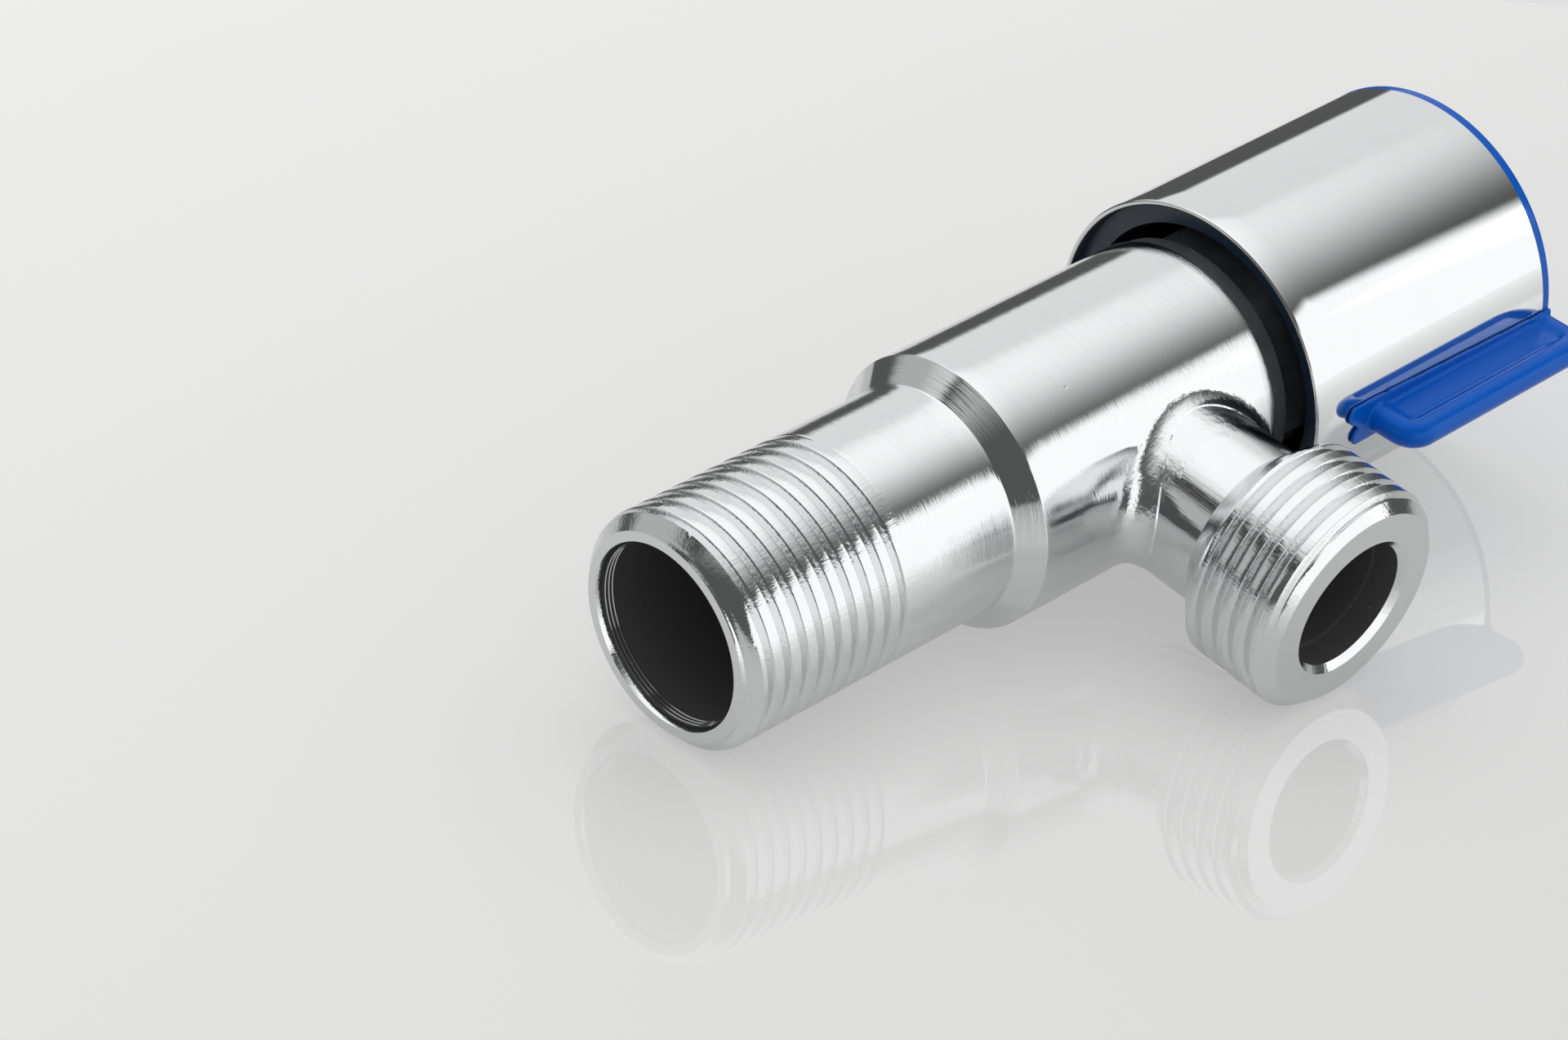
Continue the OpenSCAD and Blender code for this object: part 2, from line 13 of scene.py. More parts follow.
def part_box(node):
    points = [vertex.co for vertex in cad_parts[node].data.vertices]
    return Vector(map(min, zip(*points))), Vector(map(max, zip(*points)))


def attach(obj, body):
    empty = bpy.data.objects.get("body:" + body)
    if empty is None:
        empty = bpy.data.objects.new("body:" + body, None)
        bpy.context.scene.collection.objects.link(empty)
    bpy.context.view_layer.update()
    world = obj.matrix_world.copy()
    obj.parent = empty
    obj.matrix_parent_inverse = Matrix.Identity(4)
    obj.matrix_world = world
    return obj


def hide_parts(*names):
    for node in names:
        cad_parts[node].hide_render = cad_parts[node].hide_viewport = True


bl_info = {
    "name": "Angle Valve",
    "version": (1, 0, 0),
    "blender": (4, 5, 0),
    "location": "View3D > Sidebar > Angle Valve",
    "description": "Builds the chromed body, the handle and the finishes of an angle valve",
    "category": "Object",
}

MM = 0.001
TURN = 2 * pi
# Vertices nearer than this are merged
CLOSE = 0.002 * MM
# A face or a vertex nearer than this to a turned wall belongs to it
ON_WALL = 0.02 * MM

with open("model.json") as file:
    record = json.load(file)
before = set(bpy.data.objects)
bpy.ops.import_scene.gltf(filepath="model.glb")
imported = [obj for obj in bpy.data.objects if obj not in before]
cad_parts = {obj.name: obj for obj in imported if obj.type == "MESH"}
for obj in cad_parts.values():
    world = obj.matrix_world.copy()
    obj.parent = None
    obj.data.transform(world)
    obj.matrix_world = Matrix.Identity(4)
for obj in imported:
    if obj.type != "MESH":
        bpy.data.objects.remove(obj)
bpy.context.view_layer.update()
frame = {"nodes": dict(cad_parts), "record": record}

# Sizes that the frame gives
SLEEVE_LOW, SLEEVE_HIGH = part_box("chrome_sleeve")
CAP_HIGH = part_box("handle_cap")[1]
COVER_LOW, COVER_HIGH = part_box("screw_cover")
CAGE_LOW, CAGE_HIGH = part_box("disc_cage")
MOUNTS = {mount["name"]: mount for mount in frame["record"]["mounts"]}
THREAD_R = MOUNTS["inlet_thread"]["dims"]["r_mm"] * MM
OUTLET_X = MOUNTS["outlet_face"]["pos_m"][0]
OUTLET_REACH = -MOUNTS["outlet_face"]["pos_m"][1]

# Sizes that more than one piece shares
SCREWED_DEPTH = 5.4 * MM
BODY_END = CAGE_HIGH.x + SCREWED_DEPTH
BARREL_R = 12.35 * MM


def length(label, text, value):
    """A length property, given in millimetres"""
    return FloatProperty(name=label, description=text, default=value * MM, unit="LENGTH")


def slant(label, text, value):
    """An angle property, given in degrees"""
    return FloatProperty(name=label, description=text, default=radians(value), subtype="ANGLE")


def number(label, text, value):
    """A plain number"""
    return FloatProperty(name=label, description=text, default=value)


def shade(label, text, *value):
    """A colour property, in linear values"""
    return FloatVectorProperty(name=label, description=text, default=value, subtype="COLOR", size=3)


class ThreadSizes(bpy.types.PropertyGroup):
    """Form of the two pipe threads"""

    pitch: length("Pitch", "Distance between two crests", 1.814)
    crest: length("Crest", "Width of the crest, with its edges", 0.98)
    edge: length("Front edge", "Rounding of the crest's front edge", 0.24)
    rear_edge: length("Rear edge", "Rounding of the crest's rear edge", 0.07)
    root: length("Root", "Rounding of the groove's bottom", 0.1)
    inlet_start: slant("Inlet start", "Turn of the inlet thread's start", -40)
    chamfer: length("Chamfer", "Chamfer from the crest to the end face", 1.28)
    start_cut: number("Start cut", "Share of the groove that runs out through the chamfer", 0.32)
    inlet: length("Inlet length", "Length of the inlet thread", 18.2)
    outlet: length("Outlet length", "Length of the outlet thread", 10.2)
    run_out: length("Run-out", "Length in which the inlet groove dies away", 1.9)
    inlet_steps: IntProperty(name="Inlet steps", description="Faces round the body", default=192)
    outlet_steps: IntProperty(name="Outlet steps", description="Faces round the outlet", default=180)


class BodySizes(bpy.types.PropertyGroup):
    """Sizes of the turned and cast body"""

    plain_r: length("Plain radius", "Radius of the plain cylinder", 10.45)
    plain: length("Plain length", "Length of the plain cylinder", 11.0)
    shoulder: length("Shoulder", "Length of the cone", 1.95)
    foot: length("Foot fillet", "Fillet at the foot of the cone", 0.35)
    edge: length("Edge", "Rounding of the turned edges", 0.14)
    rim: length("Rim", "Chamfer on the barrel's end", 0.25)
    neck_r: length("Neck radius", "Radius of the outlet neck", 7.8)
    neck_step: length("Neck step", "Step between the cast root and the turned neck", 0.12)
    fillet_side: length("Side fillet", "Fillet of the neck above and below", 2.1)
    fillet_front: length("Front fillet", "Fillet of the neck towards the inlet", 2.6)
    fillet_back: length("Back fillet", "Fillet of the neck towards the handle", 1.8)
    collar_r: length("Collar radius", "Radius where the outlet thread starts", 9.3155)
    bore_r: length("Inlet bore", "Radius of the inlet bore", 8.05)
    mouth: length("Inlet mouth", "Chamfer at the mouth of the inlet bore", 0.25)
    ring_gap: length("Ring distance", "Distance between the tool's rings in the mouth", 0.38)
    ring_rise: length("Ring height", "Height of those rings", 0.06)
    outlet_bore_r: length("Outlet bore", "Radius of the outlet bore", 5.95)
    outlet_mouth: length("Outlet mouth", "Chamfer at the outlet's mouth", 0.55)
    outlet_step: length("Outlet step", "Height of the step in the outlet bore", 0.45)
    outlet_step_depth: length("Step depth", "Depth of that step", 3.0)
    outlet_depth: length("Outlet depth", "Depth of the outlet bore", 14.0)
    port_r: length("Port radius", "Radius of the port to the chamber", 4.6)
    seat_r: length("Seat radius", "Radius of the orifice in the seat", 5.5)
    seat_wall: length("Seat wall", "Thickness of the seat wall", 3.5)
    chamber_r: length("Chamber radius", "Radius of the valve chamber", 10.1)
    screwed_r: length("Bonnet hole", "Radius of the hole that takes the bonnet", 9.95)
    seal_r: length("Seal seat", "Radius of the seat of the bonnet's O-ring", 10.342)
    seal_depth: length("Seal depth", "Depth of that seat", 1.75)


class HandleSizes(bpy.types.PropertyGroup):
    """Sizes of the handle's sleeve, cap and wing"""

    wall: length("Sleeve wall", "Wall of the chromed sleeve", 0.5)
    cap_edge: length("Cap edge", "Rounding of the edges of the cap and the plug", 0.35)
    ring_r: length("Ring radius", "Radius of the ring that centres the cap", 12.8)
    ring_w: length("Ring wall", "Wall of the cap's rings", 1.0)
    ring_h: length("Ring depth", "Depth of the ring inside the core", 3.0)
    ledge: length("Ledge", "Width and height of the ledge that holds the plug", 0.8)
    gap: length("Gap", "Clearance between fitted pieces", 0.05)
    wing_turn: slant("Wing turn", "Turn of the wing from the outlet's side", 4.2)
    wing_front: length("Wing front", "From the sleeve's mouth to the wing", 6.3)
    wing_r: length("Wing radius", "Radius of the wing's outer edge", 20.9)
    wing_t: length("Wing bead", "Thickness of the wing's bead", 2.6)
    wing_corner: length("Wing corner", "Radius of the wing's corners", 2.8)
    web_t: length("Web", "Thickness of the web inside the bead", 1.7)
    hollow: length("Hollow", "Fillet between the bead and the web", 0.8)
    strip_lead: length("Strip lead", "How far the strip reaches ahead of the wing", 2.5)
    strip_t: length("Strip thickness", "Thickness of the saddle strip", 0.3)
    strip_w: length("Strip width", "Width across the strip's lobes", 4.3)
    tail_w: length("Tail width", "Width of the strip at the cap", 2.7)
    lobe_r: length("Lobe", "Radius of each lobe", 0.95)
    lobe_back: length("Lobe offset", "How far the lower lobe lies behind the upper", 0.8)
    voxel: length("Moulding grain", "Size of the cells that round the wing's edges", 0.12)


class FinishColours(bpy.types.PropertyGroup):
    """Colours of the finishes"""

    chrome: shade("Chrome", "Colour of the plating", 0.80, 0.81, 0.815)
    # Painted shade: the bores' dark grey stands for the shade inside the body
    bore: shade("Bore", "Colour of the unplated, dark bores", 0.066, 0.066, 0.067)
    blue: shade("Blue plastic", "Colour of the cap and the wing", 0.0, 0.090, 0.50)
    # Painted shade: the core plastic is drawn dark navy to stand for the shade inside the sleeve
    navy_shade: shade("Core plastic", "Colour of the moulding inside the sleeve", 0.012, 0.023, 0.042)
    # Painted shade: the chromed sleeve's inside is drawn as dark plastic, standing for the shade and the
    # dark reflections in it
    inner_wall_shade: shade("Inner wall", "Colour of the sleeve's inside", 0.034, 0.044, 0.062)
    brass: shade("Brass", "Colour of the cartridge's brass", 0.64, 0.43, 0.16)
    # Painted shade: the bonnet's nickel is drawn near black to stand for the shade inside the sleeve
    plated_shade: shade("Plated brass", "Colour of the bonnet", 0.085, 0.090, 0.102)
    ceramic: shade("Ceramic", "Colour of the discs", 0.80, 0.79, 0.76)
    rubber: shade("Rubber", "Colour of the seals", 0.012, 0.012, 0.013)
    slide: shade("Slide plastic", "Colour of the washer and the seat ring", 0.72, 0.71, 0.66)
    steel: shade("Steel", "Colour of the screw and the clip", 0.52, 0.53, 0.54)
    floor: shade("Floor", "Colour of the floor", 0.745, 0.745, 0.74)


class StudioSizes(bpy.types.PropertyGroup):
    """Camera, floor and light"""

    place: FloatVectorProperty(
        name="Camera place", description="Where the camera stands", unit="LENGTH",
        default=(-196.07 * MM, -189.90 * MM, 240.97 * MM), size=3)
    azimuth: slant("Azimuth", "Direction of the view", 42.36)
    elevation: slant("Elevation", "Slope of the view", -39.779)
    roll: slant("Roll", "Turn of the camera about its view", -7.966)
    lens: number("Lens", "Focal length in millimetres", 104.70)
    tent_r: length("Tent radius", "Radius of the light tent", 900)
    dome: number("Dome", "Even light on matt surfaces", 0.88)
    lamp: number("Lamp", "Power of the top lamp in watts", 0.35)


SETTINGS = {
    "valve_thread": ThreadSizes,
    "valve_body": BodySizes,
    "valve_handle": HandleSizes,
    "valve_finish": FinishColours,
    "valve_studio": StudioSizes,
}


# Node trees

def node(tree, kind, inputs, **settings):
    """Adds a node, with its settings, and a value or a link for each named input"""
    made = tree.nodes.new(kind)
    for key, value in settings.items():
        setattr(made, key, value)
    for key, value in inputs.items():
        if isinstance(value, bpy.types.NodeSocket):
            tree.links.new(value, made.inputs[key])
        else:
            made.inputs[key].default_value = value
    return made


def maths(tree, operation, *values, clamp=False):
    """Adds a Math node and gives its result"""
    inputs = dict(enumerate(values))
    return node(tree, "ShaderNodeMath", inputs, operation=operation, use_clamp=clamp).outputs[0]


def vector_maths(tree, operation, *vectors):
    """Adds a Vector Math node and gives its outputs"""
    inputs = dict(enumerate(vectors))
    return node(tree, "ShaderNodeVectorMath", inputs, operation=operation).outputs


def ramp(tree, value, low, high, start=0.0, end=1.0):
    """Maps a value smoothly from one range to another"""
    inputs = {"Value": value, "From Min": low, "From Max": high, "To Min": start, "To Max": end}
    made = node(tree, "ShaderNodeMapRange", inputs, interpolation_type="SMOOTHSTEP")
    return made.outputs["Result"]


def stretched(tree, vector, scale):
    """Scales a vector differently along each axis"""
    return vector_maths(tree, "MULTIPLY", vector, scale)[0]


def noise(tree, vector, scale, detail=2.0, roughness=0.5):
    """Noise from 0 to 1"""
    inputs = {"Vector": vector, "Scale": scale, "Detail": detail, "Roughness": roughness}
    return node(tree, "ShaderNodeTexNoise", inputs).outputs["Fac"]


def mix(tree, mask, first, second, kind="FLOAT"):
    """Mixes two values by a mask"""
    inputs = {"Factor": mask, "A": first, "B": second}
    return node(tree, "ShaderNodeMix", inputs, data_type=kind).outputs["Result"]


def tone(tree, mask, first, second):
    """Mixes two colours by a mask; the first may come from another node"""
    if not isinstance(first, bpy.types.NodeSocket):
        first = (*first, 1.0)
    return mix(tree, mask, first, (*second, 1.0), "RGBA")


def effect(name, result, build, **values):
    """A node group that reads a Point and the given values; build(tree, given) makes its result"""
    tree = bpy.data.node_groups.get(name)
    if tree:
        return tree
    tree = bpy.data.node_groups.new(name, "ShaderNodeTree")
    tree.interface.new_socket("Point", in_out="INPUT", socket_type="NodeSocketVector")
    for label, value in values.items():
        socket = tree.interface.new_socket(label, in_out="INPUT", socket_type="NodeSocketFloat")
        socket.default_value = value
    tree.interface.new_socket(result, in_out="OUTPUT", socket_type="NodeSocketFloat")
    made = build(tree, tree.nodes.new("NodeGroupInput").outputs)
    node(tree, "NodeGroupOutput", {result: made})
    return tree


def use(tree, name, point, **values):
    """Places an effect in a material and gives its result"""
    inputs = {"Point": point, **values}
    return node(tree, "ShaderNodeGroup", inputs, node_tree=EFFECTS[name]()).outputs[0]


def turning_marks():
    """Fine lines that the lathe leaves round the X axis"""
    def build(tree, given):
        across = stretched(tree, given["Point"], (1.0, 0.03, 0.03))
        fine = noise(tree, across, given["Fine"], detail=3.0, roughness=0.65)
        broad = noise(tree, across, maths(tree, "MULTIPLY", given["Fine"], 0.12))
        return maths(tree, "ADD", maths(tree, "MULTIPLY", fine, 0.45),
                     maths(tree, "MULTIPLY", broad, 0.55))
    return effect("Turning marks", "Height", build, Fine=6000.0)


def relief(name, scale, detail, roughness=0.5, stretch=(1.0, 1.0, 1.0)):
    """An effect that is one noise over stretched coordinates"""
    def build(tree, given):
        return noise(tree, stretched(tree, given["Point"], stretch), given["Scale"], detail, roughness)
    return effect(name, "Height", build, Scale=scale)


def chatter_lines():
    """Short lines along the X axis that the thread roller leaves on the crests"""
    return relief("Chatter lines", 2600.0, detail=3.0, roughness=0.7, stretch=(0.16, 1.0, 1.0))


def polish_waves():
    """Long, shallow waves of a polished casting under the plating"""
    return relief("Polish waves", 220.0, detail=1.0, stretch=(0.35, 1.0, 1.0))


def cast_skin():
    """Lumpy skin of the casting where the polisher didn't reach"""
    return relief("Cast skin", 900.0, detail=4.0, roughness=0.6)


def spots(name, scale, share, core, edge):
    """An effect that is 1 in a share of its cells, from each one's core out to an edge"""
    def build(tree, given):
        cells = node(tree, "ShaderNodeTexVoronoi", {"Vector": given["Point"], "Scale": given["Scale"]})
        chance = node(tree, "ShaderNodeTexWhiteNoise", {"Vector": cells.outputs["Position"]})
        rare = maths(tree, "GREATER_THAN", chance.outputs["Value"],
                     maths(tree, "SUBTRACT", 1.0, given["Share"]))
        return maths(tree, "MULTIPLY", ramp(tree, cells.outputs["Distance"], core, edge, 1.0, 0.0), rare)
    return effect(name, "Spot", build, Scale=scale, Share=share)


def plating_pits():
    """Rare small pits"""
    return spots("Plating pits", 700.0, 0.05, core=0.05, edge=0.16)


def fine_dust():
    """Sparse specks of dust"""
    return spots("Fine dust", 1500.0, 0.02, core=0.04, edge=0.1)


EFFECTS = {
    "waves": polish_waves,
    "turning": turning_marks,
    "chatter": chatter_lines,
    "skin": cast_skin,
    "pits": plating_pits,
    "dust": fine_dust,
}


# Finishes

def material(name, build):
    """A material whose build(tree, shader, point) sets its Principled shader"""
    made = bpy.data.materials.get(name)
    if made:
        return made
    made = bpy.data.materials.new(name)
    made.use_nodes = True
    tree = made.node_tree
    build(tree, tree.nodes["Principled BSDF"], tree.nodes.new("ShaderNodeTexCoord").outputs["Object"])
    return made


def set_finish(shader, colour, metallic, roughness, **others):
    """Plain values on the shader's own sockets"""
    shader.inputs["Base Color"].default_value = (*colour, 1.0)
    shader.inputs["Metallic"].default_value = metallic
    shader.inputs["Roughness"].default_value = roughness
    for key, value in others.items():
        shader.inputs[key.replace("_", " ")].default_value = value


def vary(tree, shader, colour, roughness, *heights):
    """Links the colour, the roughness and a chain of bumps, each a (height, depth in metres)"""
    tree.links.new(colour, shader.inputs["Base Color"])
    tree.links.new(roughness, shader.inputs["Roughness"])
    inputs = {"Strength": 1.0}
    for height, depth in heights:
        inputs.update(Height=height, Distance=depth)
        inputs["Normal"] = node(tree, "ShaderNodeBump", inputs).outputs["Normal"]
    tree.links.new(inputs["Normal"], shader.inputs["Normal"])


def darker(colour, share):
    """A colour scaled down or up"""
    return tuple(channel * share for channel in colour)


def about_outlet(tree, point):
    """Turns the coordinates so that the outlet's axis lies along X"""
    inputs = {"Vector": point, "Location": (0.0, -OUTLET_X, 0.0), "Rotation": (0.0, 0.0, radians(90))}
    return node(tree, "ShaderNodeMapping", inputs).outputs["Vector"]


# The marks on chrome, in the order of their bumps, with each effect's values
CHROME_MARKS = {
    "waves": {"Scale": 260.0},
    "turning": {"Fine": 7000.0},
    "chatter": {"Scale": 2400.0},
    "skin": {"Scale": 900.0},
    "pits": {"Scale": 600.0, "Share": 0.04},
}


def chrome_finish(name, roughness, share=1.0, outlet=False, **depths):
    """Bright chrome over turned, rolled, polished or cast brass; depths of its marks in mm"""
    chrome = darker(bpy.context.scene.valve_finish.chrome, share)

    def build(tree, shader, point):
        set_finish(shader, chrome, 1.0, roughness)
        if outlet:
            point = about_outlet(tree, point)
        heights = []
        for mark, values in CHROME_MARKS.items():
            if mark in depths:
                height = use(tree, mark, point, **values)
                if mark == "pits":
                    height = maths(tree, "SUBTRACT", 1.0, height)
                heights.append((height, depths[mark] * MM))
        cloud = noise(tree, point, scale=350.0, detail=3.0)
        vary(tree, shader, tone(tree, cloud, chrome, darker(chrome, 0.965)),
             ramp(tree, cloud, 0.35, 0.7, roughness * 0.7, roughness * 1.5), *heights)
    return material(name, build)


def bore_shade_finish():
    """Rough wall of the bores, dark with painted shade, with fine rings and specks of swarf dust"""
    bore = bpy.context.scene.valve_finish.bore
    swarf = (0.42, 0.42, 0.42)

    def build(tree, shader, point):
        set_finish(shader, bore, 0.0, 0.55, Specular_IOR_Level=0.35)
        speck = use(tree, "dust", point, Scale=1300.0, Share=0.06)
        rings = use(tree, "turning", point, Fine=4000.0)
        vary(tree, shader, tone(tree, speck, bore, swarf), ramp(tree, rings, 0.3, 0.7, 0.42, 0.7),
             (rings, 0.02 * MM))
    return material("Bore in painted shade", build)


def plastic_finish(name, colour, roughness, grain, tint=(1.0, 1.0, 1.0)):
    """Moulded plastic with a slight flow pattern and sparse dust; depth of its grain in mm"""
    dust = (0.4, 0.4, 0.4)

    def build(tree, shader, point):
        set_finish(shader, colour, 0.0, roughness, Specular_Tint=(*tint, 1.0))
        flow = noise(tree, stretched(tree, point, (0.4, 1.0, 1.0)), scale=300.0, detail=3.0)
        speck = use(tree, "dust", point, Scale=1100.0, Share=0.015)
        base = tone(tree, flow, darker(colour, 0.95), darker(colour, 1.05))
        vary(tree, shader, tone(tree, maths(tree, "MULTIPLY", speck, 0.35), base, dust),
             ramp(tree, flow, 0.3, 0.7, roughness * 0.85, roughness * 1.2),
             (flow, grain * MM), (noise(tree, point, scale=5000.0), grain * 0.2 * MM))
    return material(name, build)


def turned_finish(name, colour, metallic, roughness, ends, scale, share):
    """Turned metal with darker patches; the ends are its least and most roughness"""
    def build(tree, shader, point):
        set_finish(shader, colour, metallic, roughness)
        patch = noise(tree, point, scale, detail=4.0, roughness=0.6)
        rings = use(tree, "turning", point, Fine=5000.0)
        vary(tree, shader, tone(tree, ramp(tree, patch, 0.4, 0.7), colour, darker(colour, share)),
             ramp(tree, patch, 0.3, 0.7, *ends), (rings, 0.012 * MM))
    return material(name, build)


def brass_finish():
    """Machined brass with turning marks and darker patches"""
    colour = bpy.context.scene.valve_finish.brass
    return turned_finish("Machined brass", colour, 1.0, 0.25, (0.18, 0.36), scale=240.0, share=0.72)


def plated_shade_finish():
    """Dull nickel on the bonnet, with turning marks; its near-black colour is painted shade"""
    colour = bpy.context.scene.valve_finish.plated_shade
    return turned_finish("Dull nickel in painted shade", colour, 0.25, 0.3, (0.22, 0.42), scale=300.0, share=0.6)


def ceramic_finish():
    """Lapped ceramic with faint grey clouds"""
    colour = bpy.context.scene.valve_finish.ceramic

    def build(tree, shader, point):
        set_finish(shader, colour, 0.0, 0.16, Specular_IOR_Level=0.65)
        cloud = noise(tree, point, scale=500.0, detail=5.0, roughness=0.7)
        vary(tree, shader, tone(tree, cloud, colour, darker(colour, 0.86)),
             ramp(tree, cloud, 0.3, 0.7, 0.1, 0.24), (noise(tree, point, scale=9000.0), 0.002 * MM))
    return material("Lapped ceramic", build)


def rubber_finish():
    """Greased black rubber"""
    colour = bpy.context.scene.valve_finish.rubber

    def build(tree, shader, point):
        set_finish(shader, colour, 0.0, 0.4)
        film = noise(tree, point, scale=420.0, detail=3.0)
        grain = noise(tree, point, scale=6000.0, detail=3.0)
        vary(tree, shader, tone(tree, film, colour, darker(colour, 1.8)),
             ramp(tree, film, 0.35, 0.65, 0.22, 0.6), (grain, 0.008 * MM))
    return material("Greased rubber", build)


def steel_finish():
    """Stamped steel with a fine grain"""
    colour = bpy.context.scene.valve_finish.steel

    def build(tree, shader, point):
        set_finish(shader, colour, 1.0, 0.28)
        grain = noise(tree, stretched(tree, point, (1.0, 0.2, 1.0)), scale=5200.0, detail=3.0)
        vary(tree, shader, tone(tree, grain, colour, darker(colour, 0.88)),
             ramp(tree, grain, 0.3, 0.7, 0.2, 0.38), (grain, 0.006 * MM))
    return material("Stamped steel", build)


# Modelling by hand

def pick(*pieces):
    """Selects only these pieces and makes the first one active"""
    bpy.ops.object.select_all(action="DESELECT")
    for piece in pieces:
        piece.select_set(True)
    bpy.context.view_layer.objects.active = pieces[0]


def extrude(*way):
    """Extrudes what is selected along a way"""
    bpy.ops.mesh.extrude_region_move(TRANSFORM_OT_translate={"value": way})


def new_profile(name, points):
    """Starts a piece in edit mode: one vertex, extruded from place to place in the XY plane"""
    bpy.ops.object.select_all(action="DESELECT")
    bpy.ops.mesh.primitive_plane_add(size=MM)
    piece = bpy.context.object
    piece.name = name
    piece.data.name = name
    bpy.ops.object.mode_set(mode="EDIT")
    bpy.ops.mesh.select_all(action="SELECT")
    bpy.ops.mesh.merge(type="CENTER")
    places = [Vector((x, r, 0.0)) for x, r in points]
    bpy.ops.transform.translate(value=places[0])
    for last, place in zip(places, places[1:]):
        extrude(*(place - last))
    return piece


def spin_profile(steps, merge=True):
    """Spins the whole profile once about the X axis; the last copy stays selected"""
    bpy.ops.mesh.select_all(action="SELECT")
    bpy.ops.mesh.spin(steps=steps, angle=TURN, center=(0, 0, 0), axis=(1, 0, 0),
                      use_auto_merge=merge)


def close_seam():
    """Merges the vertices that lie on each other"""
    bpy.ops.mesh.select_all(action="SELECT")
    bpy.ops.mesh.remove_doubles(threshold=CLOSE)


def face_outwards():
    """Turns all normals outwards"""
    bpy.ops.mesh.select_all(action="SELECT")
    bpy.ops.mesh.normals_make_consistent(inside=False)


def spun(name, points, steps, closed=False):
    """A piece spun about the X axis; a closed one returns to its first point"""
    piece = new_profile(name, [*points, points[0]] if closed else points)
    spin_profile(steps)
    close_seam()
    if closed:
        face_outwards()
    bpy.ops.object.mode_set(mode="OBJECT")
    return piece


def finish_piece(piece, angle):
    """Turns the normals outwards and shades smooth up to an angle in degrees"""
    pick(piece)
    bpy.ops.object.mode_set(mode="EDIT")
    face_outwards()
    bpy.ops.object.mode_set(mode="OBJECT")
    bpy.ops.object.shade_smooth_by_angle(angle=radians(angle))


def joined(first, *others):
    """Joins shapes into the first"""
    pick(first, *others)
    bpy.ops.object.join()
    return first


def combine(piece, other, operation):
    """Combines two closed shapes and deletes the second"""
    modifier = piece.modifiers.new("combine", "BOOLEAN")
    modifier.operation = operation
    modifier.object = other
    modifier.solver = "EXACT"
    bpy.context.view_layer.objects.active = piece
    bpy.ops.object.modifier_apply(modifier=modifier.name)
    bpy.data.objects.remove(other)


def evenly(start, end, count):
    """Places from start to end, both included"""
    return [start + (end - start) * i / count for i in range(count + 1)]


def arc(centre, radius, start, end, count):
    """Points of a round edge in the profile, with angles in degrees from the X axis"""
    angles = [radians(a) for a in evenly(start, end, count)]
    return [(centre[0] + radius * cos(a), centre[1] + radius * sin(a)) for a in angles]


def between(first, second):
    """The point half way between two points"""
    return tuple((a + b) / 2 for a, b in zip(first, second))


def smooth(value):
    """Eases from 0 to 1"""
    value = min(max(value, 0.0), 1.0)
    return value * value * (3 - 2 * value)


# Threads

# Half of the angle between the thread's flanks, and how far a flank leans from the crest
HALF_ANGLE = radians(27.5)
LEAN = radians(62.5)
# The inlet's run-out ends at this share of its length, and its start eases in over this length
RUN_OUT_SHARE = 0.9
START_EASE = 0.5 * MM


def thread_form(size):
    """One pitch of the thread as (place, depth below the crest), from the foot of the crest's
    rounded front edge over the crest and through the groove"""
    front, rear, root = size.edge, size.rear_edge, size.root
    tangent = front * tan(LEAN / 2)
    shift = front * sin(LEAN) - tangent
    crest_end = size.crest + shift
    rear_start = crest_end - rear * tan(LEAN / 2)
    points = [(tangent + shift - front * sin(a), front - front * cos(a)) for a in evenly(LEAN, 0, 5)]
    points.append(((points[-1][0] + rear_start) / 2, 0.0))
    points += [(rear_start + rear * sin(a), rear - rear * cos(a)) for a in evenly(0, LEAN, 3)]
    middle = (size.crest + size.pitch) / 2 + shift
    centre = (size.pitch - size.crest) / 2 / tan(HALF_ANGLE) - root / sin(HALF_ANGLE)
    bottom = [(middle + root * sin(a), centre + root * cos(a)) for a in evenly(-LEAN, LEAN, 6)]
    top = (size.pitch, points[0][1])
    return [*points, between(points[-1], bottom[0]), *bottom, between(bottom[-1], top)]


def depth_at(form, size, place):
    """Depth of the thread form at any place"""
    place = place % size.pitch
    ends = [*form, (size.pitch, form[0][1])]
    for (start, low), (end, high) in zip(ends, ends[1:]):
        if place <= end:
            return low + (high - low) * (place - start) / (end - start)
    return form[0][1]


def threaded_tube(name, size, span, steps, start, radius_at):
    """An open tube along X with a right-hand thread; radius_at(place, depth) gives the radius.
    Its rows follow the thread, and gather in a plain ring at each end."""
    form = thread_form(size)
    turns = ceil(span / size.pitch)
    rows = [(k * size.pitch + place, depth) for k in range(-1, turns + 1) for place, depth in form]
    places = [place for place, depth in rows]
    piece = new_profile(name, [(place, THREAD_R) for place in places])
    spin_profile(steps, merge=False)
    for vertex in bmesh.from_edit_mesh(piece.data).verts:
        place = vertex.co.x
        depth = rows[bisect_left(places, place - CLOSE)][1]
        angle = atan2(vertex.co.z, vertex.co.y) % TURN
        if vertex.select:
            angle = TURN
        elif angle > TURN - 0.5 * TURN / steps:
            angle = 0.0
        lead = size.pitch * (angle + start) / TURN
        place += lead
        if place < 0 or place > span:
            place = min(max(place, 0.0), span)
            depth = depth_at(form, size, place - lead)
        radius = radius_at(place, depth)
        vertex.co = (place, radius * cos(angle), radius * sin(angle))
    bmesh.update_edit_mesh(piece.data)
    close_seam()
    bpy.ops.object.mode_set(mode="OBJECT")
    return piece


def inlet_thread(body, size):
    """The thread at the inlet, with a chamfered start and a run-out into the plain cylinder"""
    def radius_at(place, depth):
        fade = smooth((place - (size.inlet - size.run_out)) / (size.run_out * RUN_OUT_SHARE))
        crest = THREAD_R + (body.plain_r - THREAD_R) * fade
        chamfer = THREAD_R - size.chamfer + place
        cut = size.start_cut * depth * smooth(place / START_EASE)
        return min(crest - depth * (1 - fade), chamfer - cut)
    return threaded_tube("inlet thread", size, size.inlet, size.inlet_steps, size.inlet_start,
                         radius_at)


